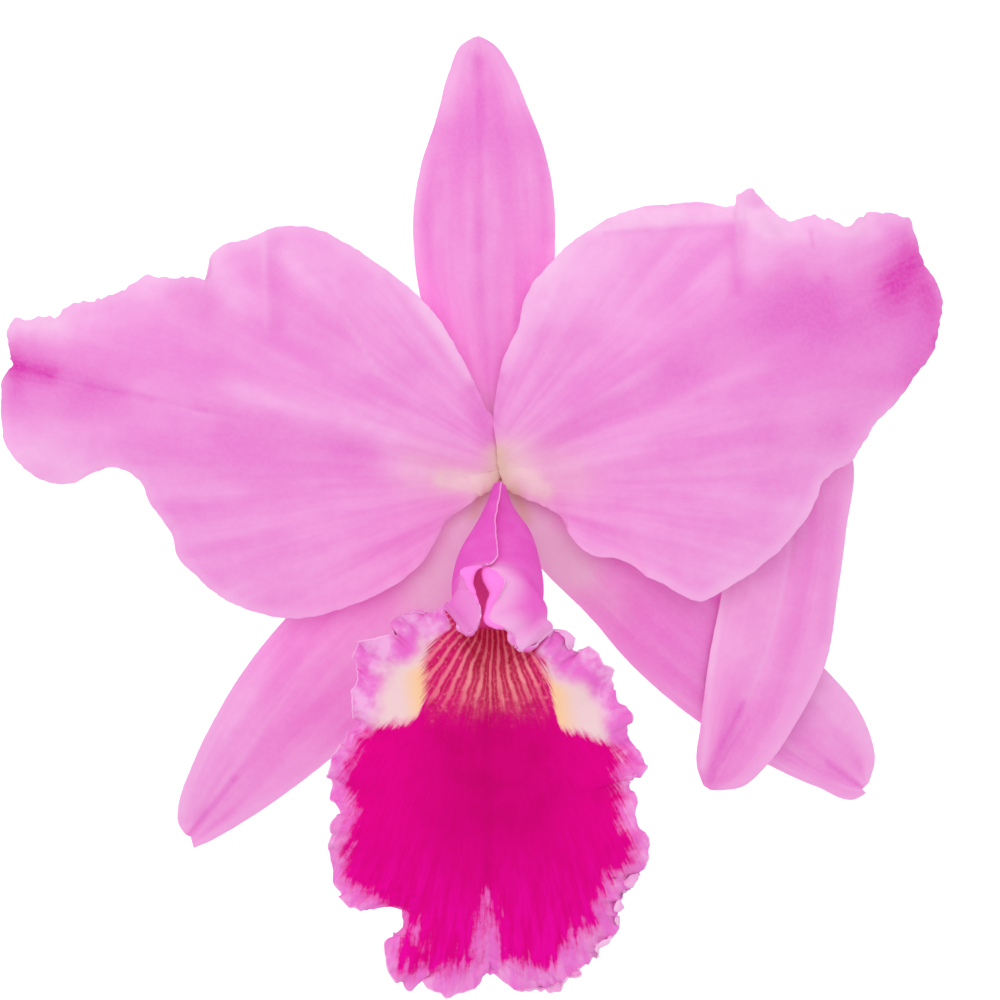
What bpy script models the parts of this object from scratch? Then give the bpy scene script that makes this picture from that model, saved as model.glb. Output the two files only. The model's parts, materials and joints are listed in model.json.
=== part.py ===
"""A cattleya orchid bloom, picked and lying face up: three sepals with one more behind the right petal,
two broad petals, a lip rolled round the column, the column with its anther cap, and the ribbed ovary with
its stalk.

Metres, +Z up. The origin is on the surface the flower lies on, under the middle of its outline, +Y runs to
the dorsal sepal's tip, and +X to the right of someone looking down on the face."""

import math

import bpy
import numpy as np

MM = 0.001

# Driving dimensions, in millimetres
BLADE_RIB_THICKNESS = 0.9
BLADE_MARGIN_THICKNESS = 0.6
SEPAL_CROWN = 0.6
PETAL_CROWN = 1.2
PRESSED_DEPTH = 0.5
LIP_RIB_THICKNESS = 0.8
LIP_MARGIN_THICKNESS = 0.6
LIP_CROWN = 1.6
LIP_DROOP = 4.0
RECEPTACLE_RADIUS = 4.0
RECEPTACLE_HEIGHT = 15.1
BOSS_RADIUS = 1.8
BOSS_HEIGHT = 19.0
OVARY_RADIUS = 2.9
OVARY_RIBS = 6
STALK_RADIUS = 2.1
COLUMN_BASE_RADIUS = 0.7
COLUMN_TIP_RADIUS = 2.9
ANTHER_CAP_LENGTH = 2.4
ANTHER_CAP_GAP = 0.3

# Shares of the stalk's length, from the receptacle down, and of a radius
RECEPTACLE_RUN = 0.07
OVARY_TAPER_FROM = 0.15
OVARY_TAPER_RUN = 0.35
OVARY_RIBS_FADE_FROM = 0.3
OVARY_RIBS_FADE_RUN = 0.3
OVARY_RIB_DEPTH = 0.07
COLUMN_DEPTH_SHARE = 0.8
ANTHER_CAP_WIDTH_SHARE = 0.92
ANTHER_CAP_LOBING = 0.08

# The outlines below are drawn as they look from above the middle of the face, on the level of the petals.
# What lies lower is further from that point of view's axis than it is drawn, and what lies higher is nearer.
VIEW_AXIS = np.array([5.1, 1.2])
VIEW_LEVEL = 25.0
VIEW_HEIGHT = 850.0

# Each outline runs from the middle of the flower to a tip, as (x, y, z) in millimetres
DORSAL_MID = [
    (4.8, 7.8, 15.9), (4.4, 11.4, 17), (3.4, 21.6, 19.2), (2.7, 35.2, 20.3), (2.2, 48.8, 18.8),
    (1.9, 60.7, 14.2), (1.5, 70, 6.8), (1.4, 76.8, 0.6), (1.4, 79.95, 0.1),
]
DORSAL_LEFT = [
    (2.6, 7.5, 15.9), (-0.9, 13.9, 16.6), (-4.6, 23.3, 17.5), (-8.2, 35.2, 18), (-9.4, 43.9, 17.6),
    (-9.5, 49.5, 16.7), (-8.3, 57.6, 13.4), (-5.6, 66, 8.8), (-3.4, 74, 2.8), (-1.4, 78.4, 0.2),
    (0.9, 79.9, 0.1),
]
DORSAL_RIGHT = [
    (7, 7.5, 15.9), (9.2, 13.9, 16.6), (11.7, 23.3, 17.5), (13.6, 33.5, 18), (14.3, 43.9, 17.4),
    (14.1, 52.4, 15.6), (12.8, 59.5, 12.8), (9.4, 68.7, 7.2), (6.6, 75, 2.2), (4.2, 78.4, 0.2),
    (1.9, 79.9, 0.1),
]
LEFT_LATERAL_MID = [
    (2.7, 3.4, 15.9), (-5.1, -5.6, 16.9), (-15.3, -16.2, 17.2), (-27.2, -28.4, 14.8),
    (-37.4, -40.5, 10), (-43.9, -49.5, 3.8), (-46.2, -53.7, 0.5), (-47.4, -55.9, 0.1),
]
LEFT_LATERAL_OUTER = [
    (1, 4.9, 15.9), (-8.5, -0.9, 16.4), (-20.4, -9, 16.2), (-31.1, -18.9, 14.2), (-37.9, -27.2, 12),
    (-43.5, -36.4, 8.6), (-47.3, -44.4, 4.8), (-49.5, -51.3, 1.2), (-49.5, -53.6, 0.2),
    (-48.3, -55.6, 0.1),
]
LEFT_LATERAL_INNER = [
    (4.2, 1.5, 15.9), (3.2, -6.5, 16.6), (-0.3, -16.7, 16.4), (-6.8, -26.9, 14.6),
    (-14.5, -35, 12.2), (-23.3, -42.3, 9.4), (-31.5, -48.6, 6), (-38.9, -53.6, 2.4),
    (-45.2, -57.1, 0.3), (-46.9, -57.8, 0.1),
]
RIGHT_LATERAL_MID = [
    (7, 3.4, 15.9), (15.3, -5.3, 16.6), (25.5, -16.2, 15.8), (37.4, -27.2, 11.8),
    (49.3, -37.1, 6.6), (59.5, -44.5, 1.8), (64.3, -46.9, 0.4), (66.5, -47.9, 0.1),
]
RIGHT_LATERAL_OUTER = [
    (8.7, 4.9, 15.9), (22.1, -0.5, 15.8), (37.4, -9.4, 13.4), (51, -19.2, 9.8), (60.4, -27.7, 6.2),
    (65.5, -33.7, 3.8), (67.8, -38.4, 2), (68.7, -43.4, 0.3), (67.7, -46.9, 0.1),
]
RIGHT_LATERAL_INNER = [
    (5.4, 1.4, 15.9), (8.2, -5.3, 16.2), (12.1, -10.2, 15.8), (20.2, -18.2, 14), (26.9, -26, 11.6),
    (39.3, -36.6, 6.8), (50.5, -43.5, 2.8), (58.7, -47.3, 0.8), (65.6, -49.5, 0.1),
    (67.2, -48.6, 0.1),
]
EXTRA_MID = [
    (7.5, 5.8, 17.1), (22.1, 9.7, 17.4), (37.4, 12.1, 17), (48.6, 9.4, 16.2), (54.6, -1.4, 15.2),
    (53.2, -15.8, 13.6), (47.6, -32.8, 10.8), (41, -48, 7),
]
EXTRA_OUTER = [
    (7.5, 7.1, 17.1), (22.1, 15.8, 17), (39.1, 20.2, 16.4), (53.7, 19.6, 15.4), (62.2, 14.8, 14.4),
    (64.9, 8.3, 13.9), (63.8, -4.2, 13.2), (62.4, -14.6, 12.2), (60.2, -26.9, 10.8),
    (55.6, -36.2, 9.6), (50.7, -43.4, 8.6), (46.2, -47.4, 7.6), (42.2, -48.1, 7),
]
EXTRA_INNER = [
    (7.5, 4.4, 17.1), (22.1, 4.2, 17.2), (34.7, 3.6, 16.6), (41.8, -0.5, 15.6), (43.9, -7, 14.6),
    (43, -13.9, 14.4), (41, -24.3, 13.2), (39.4, -36.7, 10.2), (38.8, -44.4, 7.8), (39.8, -47.3, 7),
]
LEFT_PETAL_MID = [
    (4.4, 6.4, 20), (-1.4, 5, 20.3), (-9.4, 7.5, 23.4), (-23.5, 11.1, 27.6), (-34.9, 14.5, 29.6),
    (-46.1, 16.7, 30), (-55.6, 18.9, 29), (-62.9, 20.2, 27.5), (-71.4, 22.3, 25), (-77.5, 24.1, 22),
]
LEFT_PETAL_UPPER = [
    (4.4, 7.5, 20), (4.1, 9.6, 20.2), (3.6, 13.1, 20.8), (1.5, 19.3, 21.9), (-1.7, 25.6, 23),
    (-5.1, 31.3, 24), (-8.9, 35.8, 24.7), (-13.7, 39.8, 25), (-20.2, 44.2, 25), (-28.9, 47.9, 24.2),
    (-32.8, 47.6, 23.6), (-35.7, 46.6, 24.6), (-37.9, 45.7, 25.2), (-42.2, 44.4, 25.4),
    (-44, 42.7, 26), (-44.9, 38.8, 28), (-47.6, 39.1, 27.2), (-50.7, 38.9, 25.6),
    (-54.2, 39.3, 24.4), (-57.1, 37.9, 25.4), (-60, 36.4, 25.6), (-63.1, 35.5, 24),
    (-65.6, 34.7, 23.4), (-68.5, 34, 24.4), (-70.4, 32.1, 24.8), (-73.1, 32.5, 23.4),
    (-75.3, 31.8, 22.6), (-77.5, 32.1, 22), (-78.5, 30.4, 21.4), (-78.4, 27.5, 21.6),
    (-78, 25.3, 22),
]
LEFT_PETAL_LOWER = [
    (4.2, 5.4, 20), (2, 3.4, 20), (0.5, 1.2, 20), (-1.5, -0.5, 20), (-3.9, -2.2, 20.2),
    (-5.8, -5.6, 21), (-8.7, -9.9, 21.8), (-13.9, -13.9, 22.4), (-21.1, -17, 22.6),
    (-25.8, -18.4, 22.4), (-31.1, -18.9, 22), (-36.2, -17.9, 21.6), (-41, -15.8, 21.4),
    (-45.9, -12.2, 21.6), (-49.6, -8.3, 22.4), (-50.7, -4.6, 24), (-52.5, -1.9, 25),
    (-54.7, 1.2, 25), (-55.6, 3.7, 26), (-57.1, 5.4, 27), (-60.4, 6.8, 27), (-64.6, 5.6, 25),
    (-67.5, 4.1, 23.6), (-71.7, 4.2, 22.8), (-75, 6, 23), (-77.4, 8.5, 23.4), (-78.9, 10.5, 22.4),
    (-79.6, 15.1, 21), (-79.7, 19.6, 21), (-79.2, 21.9, 21.6), (-78.2, 23.5, 22),
]
RIGHT_PETAL_MID = [
    (5.2, 6.4, 20), (11.1, 7, 20.6), (17, 11.4, 24), (27, 16, 28), (36.7, 20.9, 30),
    (46.8, 25.7, 30.6), (58.1, 32, 30), (68, 36.7, 27.6), (74, 39.8, 24.6), (77, 41.3, 22.4),
]
RIGHT_PETAL_UPPER = [
    (5.2, 7.5, 20), (4.9, 9.5, 20.2), (4.2, 13.6, 20.9), (4.6, 19.7, 21.6), (5.7, 24.8, 22.5),
    (7.2, 28.2, 23), (8.3, 30.6, 23.5), (9, 34.2, 24.1), (10.9, 38.1, 24.6), (14.2, 41.8, 25.2),
    (17.5, 44.9, 25.4), (21.1, 47.3, 25.2), (24.8, 49.3, 25), (29.1, 50.8, 25), (33.8, 51.3, 25.2),
    (39.6, 51.7, 25.8), (45.1, 51.2, 27), (45.9, 53, 29), (47.3, 54.1, 29.4), (49.3, 52.7, 28.4),
    (51.5, 50.3, 26.8), (53.9, 48.6, 25.6), (57.3, 49.3, 24.6), (60.9, 48.8, 25.2),
    (64.1, 47.4, 26.4), (65.8, 48.6, 25.4), (67.7, 49.5, 24.2), (69, 50.2, 24), (71.9, 49.3, 24),
    (74.8, 49.1, 23.4), (75.5, 46.6, 22.6), (76.2, 43.5, 22.4), (76.8, 42, 22.4),
]
RIGHT_PETAL_LOWER = [
    (5.4, 5.4, 20), (7.2, 3.7, 20), (8.2, 2.4, 20), (9.7, 1.5, 20.1), (12.4, 0.3, 20.4),
    (15.1, -1.2, 21.4), (16.8, -4.2, 23), (18.5, -6.5, 23.6), (21.6, -8.3, 23.2),
    (24.7, -8.7, 22.6), (27.7, -9.9, 23), (30.1, -11.7, 23.8), (32.8, -12.9, 23.4),
    (35.5, -14.6, 22.8), (38.4, -15.8, 22.4), (44.2, -13.4, 22), (48.5, -10.4, 21.8),
    (53.2, -6.5, 21.8), (57.1, -1.7, 22), (61.5, 5.8, 22.6), (64.9, 7.8, 23.6), (66.3, 10.2, 24),
    (68, 12.9, 23.4), (69.2, 14.8, 22.8), (71.2, 16.7, 23.4), (73.8, 19.7, 23.6), (75, 21.4, 22.8),
    (77.7, 25, 22.4), (79.2, 27.7, 23.2), (79.6, 30.8, 22.8), (80.1, 33.8, 21.8), (79.9, 36.6, 22),
    (78.9, 38.6, 22.6), (77.7, 40.5, 22.4),
]
LIP_MID = [
    (4.8, 3.2, 19.9), (4.8, -0.8, 21.4), (4.8, -4.2, 23.8), (4.6, -8.7, 27.4), (4.2, -14.1, 31.2),
    (3.9, -20.1, 34.6), (3.6, -26.4, 38.6), (3.4, -32.8, 42.2), (3.4, -38.8, 44.6),
    (3.4, -46.4, 45.8), (3.4, -54.9, 45), (3.4, -63.4, 42.8), (3.2, -71.9, 39.6),
    (3.2, -79.1, 36.5),
]
LIP_LEFT = [
    (5.3, 4.3, 26.6), (4.9, 1.9, 30.4), (4.4, -1.4, 34.8), (4.2, -4.9, 39), (4.6, -7.7, 42.4),
    (3.7, -9.5, 45), (2.2, -10.1, 46.6), (1.1, -10.8, 48), (0.6, -11.8, 48.7), (0.5, -12.8, 49),
    (0.7, -13.8, 49.1), (1, -14.8, 49.3), (1.3, -15.9, 49.7), (1.7, -17.4, 50.3), (1.7, -19.2, 51),
    (0.9, -21.2, 50.6), (-0.3, -21.9, 49), (-1.5, -20.9, 47), (-2.4, -18.7, 45),
    (-3.9, -17.2, 43.6), (-6.8, -18, 44.6), (-9.4, -17.7, 46.4), (-11.4, -18.5, 44.8),
    (-13.3, -19.9, 42.6), (-12.6, -21.9, 43.4), (-15.3, -22.4, 45.4), (-18.7, -22.8, 43),
    (-19.2, -25.7, 41.2), (-19.2, -28.7, 43), (-19.9, -31.6, 45.2), (-19.9, -34.5, 44),
    (-19.2, -36.6, 41.4), (-21.1, -39.6, 42.4), (-23.1, -42.5, 45.4), (-23.8, -44.9, 44.2),
    (-23.6, -47.3, 41.8), (-23.6, -49.5, 41.6), (-22.4, -51.2, 43.8), (-23, -53.2, 45.6),
    (-23.8, -55.6, 45.6), (-24.3, -58, 43.4), (-23.6, -61.2, 40.8), (-22.8, -64.8, 40.6),
    (-21.1, -67.5, 42.8), (-18.7, -68.3, 44), (-16.5, -68.7, 42.6), (-15.3, -67.7, 40),
    (-13.1, -67.7, 39.2), (-11.4, -69.2, 40.8), (-11.4, -71.1, 41.6), (-12.2, -72.9, 40.4),
    (-14.6, -74.3, 41.4), (-13.9, -77.4, 42), (-12.1, -80.8, 39.8), (-10.2, -81.9, 38),
    (-8.8, -80.4, 37.6), (-6.6, -81.9, 39.6), (-4.1, -83.1, 40), (-1.4, -82.6, 38),
    (1.2, -80.8, 36.6), (2.7, -79.4, 36.4),
]
LIP_RIGHT = [
    (4.6, 3.9, 25), (3.7, 1.5, 28.4), (3.1, -1.5, 32.6), (2.9, -4.9, 36.8), (2.9, -7.5, 40.2),
    (2.6, -9.2, 43), (1.9, -10.6, 45.4), (2, -11.5, 47), (2.3, -12.6, 48.2), (2.9, -13.7, 48.8),
    (3.3, -14.7, 48.8), (3, -15.9, 48.8), (2.6, -17.5, 49.2), (2.6, -19.4, 50.2),
    (4.2, -20.4, 50.6), (6.3, -21.1, 50), (6.8, -22.8, 49.6), (8.2, -24.5, 49), (10.2, -24.3, 47.2),
    (11.9, -22.4, 45.2), (13.4, -20.9, 44), (14.8, -20.9, 45), (16.7, -21.9, 46.6),
    (17.9, -24.7, 44.2), (19.9, -24, 43.4), (21.9, -25.8, 45.2), (24.3, -28.6, 43.4),
    (24.1, -31.3, 41.4), (26, -33.2, 43), (27.5, -36.6, 45), (27, -38.9, 43), (29.1, -41.5, 42),
    (29.9, -44.4, 44), (28.9, -45.9, 45), (26.4, -45.6, 42.4), (26.5, -47.1, 40.4),
    (28.2, -48.8, 41.4), (28.6, -50.8, 43), (28.6, -53.2, 43.8), (29.9, -55.6, 44.4),
    (29.9, -59, 42.4), (28.6, -62.7, 40.6), (26.7, -65.5, 42), (25.5, -66.8, 43), (25, -69.2, 41.2),
    (25.2, -71.7, 39), (23.3, -73.6, 40), (21.4, -74.3, 41.2), (21.6, -75.8, 39.4),
    (19.7, -77.2, 38), (17.3, -79.7, 40), (14.3, -81.6, 38.8), (11.4, -81.8, 37),
    (8.3, -82.1, 38.4), (5.8, -80.8, 37.4), (3.7, -79.4, 36.5),
]
STALK = [
    (4.8, 5.4, 15.1), (4.8, 5.3, 12.5), (4.8, 4.1, 9.4), (4.7, 1.2, 6.4), (4.6, -3.9, 4.4),
    (4.5, -12.4, 3.3), (4.3, -26, 2.9), (4.2, -41.3, 2.7), (4.1, -54.9, 2.6),
]
COLUMN = [
    (4.8, 1.6, 23.8), (4.8, 0.5, 24.8), (4.7, -3.9, 28.4), (4.6, -9.3, 33.2),
]

# Where along the lip, as shares of its margin's run, the middle of its floor lies at each of its points
LIP_MID_SHARES = (0, 0.033, 0.055, 0.085, 0.115, 0.15, 0.22, 0.36, 0.45, 0.54, 0.66, 0.77, 0.89, 1)
# The end of the overlapping seam and the end of the turned-out flap, as (point of the margin, share)
LIP_LEFT_PINS = ((0, 0), (5, 0.16), (20, 0.36), (-1, 1))
LIP_RIGHT_PINS = ((0, 0), (5, 0.16), (21, 0.36), (-1, 1))
# How far each half of the lip's tube swings out and up between floor and margin, as (share, left x and y,
# right x and y), and the shares between which the tube opens
LIP_SWING = (
    (0, -0.9, 0, 1.2, 0), (0.033, -2.2, 0, 2.8, 0), (0.071, -4.6, 0, 6.1, 0), (0.109, -6.9, 0, 8.1, 0),
    (0.16, -7, 0.5, 9.4, 1), (0.2, -4.6, 3, 8.3, 3.5), (0.24, -5.5, 4.2, 10, 5),
    (0.28, -5.2, 6.8, 8.3, 5.5), (0.32, -3.5, 5.3, 6.3, 5.2), (0.36, -0.5, 0.5, 0.8, 0.5), (0.42, 0, 0, 0, 0),
    (1, 0, 0, 0, 0),
)
LIP_TUBE_ENDS = (0.2, 0.42)
# Where the front lobe has its full crown and droop, as a share of the lip's run
LIP_FULL_FROM = 0.6

# Rows along a blade and columns across each half of it
SEPAL_GRID = (17, 4)
PETAL_GRID = (37, 7)
LIP_GRID = (73, 7)

PINK = (0.86, 0.33, 0.70)
PALE_PINK = (0.90, 0.45, 0.76)
MAGENTA = (0.78, 0.03, 0.28)
CREAM = (0.86, 0.74, 0.62)
IVORY = (0.90, 0.85, 0.78)
GREEN = (0.42, 0.52, 0.22)


def smooth_step(x):
    """0 below 0 and 1 above 1, with a level start and end between."""
    x = np.clip(x, 0, 1)
    return x * x * (3 - 2 * x)


def chord_shares(points, pins=None):
    """Each point's share of the length of the line through them, stretched so that pinned points get
    theirs."""
    steps = np.linalg.norm(np.diff(points, axis=0), axis=1)
    shares = np.concatenate([[0], np.cumsum(steps)]) / steps.sum()
    if pins:
        at, given = zip(*pins)
        shares = np.interp(shares, shares[list(at)], given)
    return shares


def along(points, t, shares=None):
    """A smooth curve through the points, read at the shares t: on each stretch the cubic whose slope at
    either end is the mean of the straight slopes beside that point, the shorter one counting more."""
    points = np.asarray(points, float)
    if shares is None:
        shares = chord_shares(points)
    shares = np.asarray(shares, float)
    steps = np.diff(shares)[:, None]
    slopes = np.diff(points, axis=0) / steps
    inner = (steps[1:] * slopes[:-1] + steps[:-1] * slopes[1:]) / (steps[1:] + steps[:-1])
    slopes = np.concatenate([slopes[:1], inner, slopes[-1:]])
    i = np.clip(np.searchsorted(shares, t, side="right") - 1, 0, len(steps) - 1)
    h = steps[i]
    u = (t[:, None] - shares[i, None]) / h
    start = (2 * u**3 - 3 * u**2 + 1) * points[i] + (u**3 - 2 * u**2 + u) * h * slopes[i]
    end = (3 * u**2 - 2 * u**3) * points[i + 1] + (u**3 - u**2) * h * slopes[i + 1]
    return start + end


def settled(curve, reach):
    """The curve with its fine waves levelled: each point is the mean of those within reach rows, twice over.
    The curve goes on past either end as itself turned half round about that end, which stays where it is."""
    width = 2 * reach + 1
    for _ in range(2):
        before = 2 * curve[0] - curve[reach:0:-1]
        after = 2 * curve[-1] - curve[-2 : -reach - 2 : -1]
        padded = np.concatenate([np.zeros((1, 3)), before, curve, after])
        total = np.cumsum(padded, axis=0)
        curve = (total[width:] - total[:-width]) / width
    return curve


def in_place(points):
    """Points drawn as seen from above, moved to where they lie: each comes nearer to the axis of view, or
    goes further from it, by its height over the drawing's level as a share of the view's height."""
    points = np.array(points, float)
    share = (points[..., 2:] - VIEW_LEVEL) / VIEW_HEIGHT
    points[..., :2] = VIEW_AXIS + (points[..., :2] - VIEW_AXIS) * (1 - share)
    return points


def across(columns):
    """Shares of the way from the middle line to a margin, closer together towards the margin."""
    return np.sin(np.linspace(0, math.pi / 2, columns + 1))


def blade(middle, one_side, other_side, grid, crown=0.0, waves=3):
    """A sepal or petal: from each point of the middle line straight out to both margins, raised between the
    two by crown millimetres. Rows are closer together towards the tip. The margins' fine waves fade inwards
    with the fourth power of the way out."""
    rows, columns = grid
    t = 1 - np.linspace(1, 0, rows) ** 1.3
    s = across(columns)[:, None]
    line = along(middle, t)[:, None]
    sides = []
    for outline in (one_side, other_side):
        margin = along(outline, t)
        calm = settled(margin, waves)
        half = line + s * (calm[:, None] - line) + s**4 * (margin - calm)[:, None]
        half[..., 2] += 4 * crown * (np.sin(math.pi * t) ** 0.5)[:, None] * (s * (1 - s))[:, 0]
        sides.append(half)
    return in_place(np.concatenate([sides[0][:, :0:-1], sides[1]], axis=1))


def lip_surface(grid):
    """The lip: from its floor each half goes out and round to the margin as half a ring where it is a tube,
    and straight out where it is the open front lobe. The margins' fine waves fade inwards with the fourth
    power of the way out."""
    rows, columns = grid
    t = np.linspace(0, 1, rows)
    s = across(columns)[:, None]
    floor = along(LIP_MID, t, LIP_MID_SHARES)[:, None]
    swing = np.array(LIP_SWING)
    swing = along(swing[:, 1:], t, swing[:, 0])[:, None]
    start, end = LIP_TUBE_ENDS
    tube = (1 - smooth_step((t - start) / (end - start)))[:, None, None]
    crown = LIP_CROWN * smooth_step((t - end) / (LIP_FULL_FROM - end)) * (1 - t**4)
    droop = LIP_DROOP * smooth_step((t - start) / (LIP_FULL_FROM - start)) * (1 - t**6)
    sides = []
    for outline, pins, way in ((LIP_LEFT, LIP_LEFT_PINS, (0, 1)), (LIP_RIGHT, LIP_RIGHT_PINS, (2, 3))):
        margin = along(outline, t, chord_shares(np.array(outline), pins))
        calm = settled(margin, 2)
        reach = tube * (3 * s**2 - 2 * s**3) + (1 - tube) * s
        half = floor + reach * (calm[:, None] - floor) + s**4 * (margin - calm)[:, None]
        half[..., :2] += 4 * swing[..., way] * (s * (1 - s))
        half[..., 2] += 4 * crown[:, None] * (s * (1 - s))[:, 0] - droop[:, None] * s[:, 0] ** 2
        sides.append(half)
    return in_place(np.concatenate([sides[0][:, :0:-1], sides[1]], axis=1))


def strip_faces(loop_a, loop_b):
    """Two triangles between each pair of neighbours on two lines of equally many vertices."""
    a, b, c, d = loop_a[:-1], loop_a[1:], loop_b[1:], loop_b[:-1]
    return np.concatenate([np.stack([a, b, c], -1).reshape(-1, 3), np.stack([a, c, d], -1).reshape(-1, 3)])


def plate(surface, rib_thickness, margin_thickness):
    """A solid of a surface: a front and a back half a thickness to either side along its normals, both split
    into triangles alike, and a rim. It thins from the middle column to the margins."""
    normal = np.cross(np.gradient(surface, axis=1), np.gradient(surface, axis=0))
    normal /= np.linalg.norm(normal, axis=-1, keepdims=True)
    rows, columns = surface.shape[:2]
    inwards = 1 - abs(np.linspace(-1, 1, columns))
    half = (margin_thickness + (rib_thickness - margin_thickness) * inwards**2)[:, None] / 2
    front, back = surface + half * normal, surface - half * normal
    index = np.arange(rows * columns).reshape(rows, columns)
    cells = np.concatenate([strip_faces(index[i], index[i + 1]) for i in range(rows - 1)])
    border = np.concatenate([index[0, :-1], index[:-1, -1], index[-1, :0:-1], index[:0:-1, 0], index[:1, 0]])
    rim = strip_faces(border, border + rows * columns)
    faces = np.concatenate([cells, cells[:, ::-1] + rows * columns, rim[:, ::-1]])
    return np.concatenate([front.reshape(-1, 3), back.reshape(-1, 3)]), faces


def swept(path, sides, wide, deep):
    """A closed bar along a path that lies in a plane across X: ellipses of half-widths wide along X and deep
    across it, whose rings stand square to the path. wide and deep hold a number for each ring and side."""
    run = np.gradient(path, axis=0)
    run /= np.linalg.norm(run, axis=1, keepdims=True)
    side = np.array([1.0, 0, 0])
    up = np.cross(run, side)
    angle = np.linspace(0, 2 * math.pi, sides, endpoint=False)
    sideways = wide[..., None] * np.cos(angle)[:, None] * side
    upwards = deep[..., None] * np.sin(angle)[:, None] * up[:, None]
    rings = (path[:, None] + sideways + upwards).reshape(-1, 3)
    index = np.arange(len(rings)).reshape(len(path), sides)
    index = np.concatenate([index, index[:, :1]], axis=1)
    walls = [strip_faces(index[i], index[i + 1]) for i in range(len(path) - 1)]
    first, last = len(rings), len(rings) + 1
    caps = [[index[0, j + 1], index[0, j], first] for j in range(sides)]
    caps += [[index[-1, j], index[-1, j + 1], last] for j in range(sides)]
    return np.concatenate([rings, path[:1], path[-1:]]), np.concatenate(walls + [np.array(caps)])


def make(name, solid, colour, roughness=0.5):
    """An object of this name and colour from vertices in millimetres and triangles, turned to face
    outwards."""
    points, faces = solid
    corners = points[faces]
    if np.einsum("ij,ij->", corners[:, 0], np.cross(corners[:, 1], corners[:, 2])) < 0:
        faces = faces[:, ::-1]
    mesh = bpy.data.meshes.new(name)
    mesh.from_pydata((points * MM).tolist(), [], faces.tolist())
    mesh.shade_smooth()
    mesh.set_sharp_from_angle(angle=math.radians(50))
    material = bpy.data.materials.new(name)
    material.use_nodes = True
    shader = material.node_tree.nodes["Principled BSDF"]
    shader.inputs["Base Color"].default_value = (*colour, 1)
    shader.inputs["Roughness"].default_value = roughness
    mesh.materials.append(material)
    item = bpy.data.objects.new(name, mesh)
    bpy.context.collection.objects.link(item)
    return item


def sepal(name, middle, one_side, other_side, colour):
    """A sepal, pressed flat against the surface on its lower face where its tip comes down to it."""
    surface = blade(middle, one_side, other_side, SEPAL_GRID, crown=SEPAL_CROWN, waves=1)
    points, faces = plate(surface, BLADE_RIB_THICKNESS, BLADE_MARGIN_THICKNESS)
    lower = np.min(np.split(points[:, 2], 2), axis=0)
    pressed = (points[:, 2] <= np.tile(lower, 2)) & (points[:, 2] < PRESSED_DEPTH)
    points[pressed, 2] = 0
    make(name, (points, faces), colour)


def petal(name, middle, one_side, other_side):
    surface = blade(middle, one_side, other_side, PETAL_GRID, crown=PETAL_CROWN)
    make(name, plate(surface, BLADE_RIB_THICKNESS, BLADE_MARGIN_THICKNESS), PINK)


def lip():
    make("lip", plate(lip_surface(LIP_GRID), LIP_RIB_THICKNESS, LIP_MARGIN_THICKNESS), MAGENTA)


def ovary_and_stalk():
    """The ovary widens under the sepals into the receptacle, whose boss stands between their bases. Its ribs
    turn half round on the way to the stalk, which ends in a plain cut."""
    sides, rings = 24, 26
    t = np.linspace(0, 1, rings)
    path = along(STALK, t)
    ovary = 1 - smooth_step((t - OVARY_TAPER_FROM) / OVARY_TAPER_RUN)
    receptacle = 1 - smooth_step(t / RECEPTACLE_RUN)
    radius = STALK_RADIUS + (OVARY_RADIUS - STALK_RADIUS) * ovary
    radius += (RECEPTACLE_RADIUS - OVARY_RADIUS) * receptacle
    angle = np.linspace(0, 2 * math.pi, sides, endpoint=False)
    ribbed = (1 - receptacle) * (1 - smooth_step((t - OVARY_RIBS_FADE_FROM) / OVARY_RIBS_FADE_RUN))
    ripple = 1 + OVARY_RIB_DEPTH * ribbed[:, None] * np.cos(OVARY_RIBS * (angle - math.pi * t[:, None]))
    top = np.array([[*STALK[0][:2], z] for z in (BOSS_HEIGHT, RECEPTACLE_HEIGHT)])
    path = np.concatenate([top, path])
    width = np.concatenate([np.full((2, sides), BOSS_RADIUS), radius[:, None] * ripple])
    make("ovary_and_stalk", swept(in_place(path), sides, width, width), GREEN, 0.45)


def column():
    """The column, slim at its base inside the lip's tube and broad at its tip."""
    sides, rings = 16, 9
    t = np.linspace(0, 1, rings)
    width = COLUMN_BASE_RADIUS + (COLUMN_TIP_RADIUS - COLUMN_BASE_RADIUS) * smooth_step(t)
    width = np.repeat(width[:, None], sides, axis=1)
    make("column", swept(in_place(along(COLUMN, t)), sides, width, width * COLUMN_DEPTH_SHARE), IVORY, 0.4)


def anther_cap():
    """A small dome on the column's tip, a quarter of an ellipse turned round and a little two-lobed."""
    sides, rings = 16, 7
    end = in_place(along(COLUMN, np.array([0.95, 1.0])))
    run = (end[1] - end[0]) / np.linalg.norm(end[1] - end[0])
    height = np.sin(np.linspace(0, 1.4, rings))
    path = end[1] + (ANTHER_CAP_GAP + ANTHER_CAP_LENGTH * height)[:, None] * run
    angle = np.linspace(0, 2 * math.pi, sides, endpoint=False)
    lobed = 1 + ANTHER_CAP_LOBING * np.cos(2 * angle)
    width = ANTHER_CAP_WIDTH_SHARE * COLUMN_TIP_RADIUS * np.sqrt(1 - height**2)[:, None] * lobed
    make("anther_cap", swept(path, sides, width, width * COLUMN_DEPTH_SHARE), CREAM, 0.4)


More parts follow.
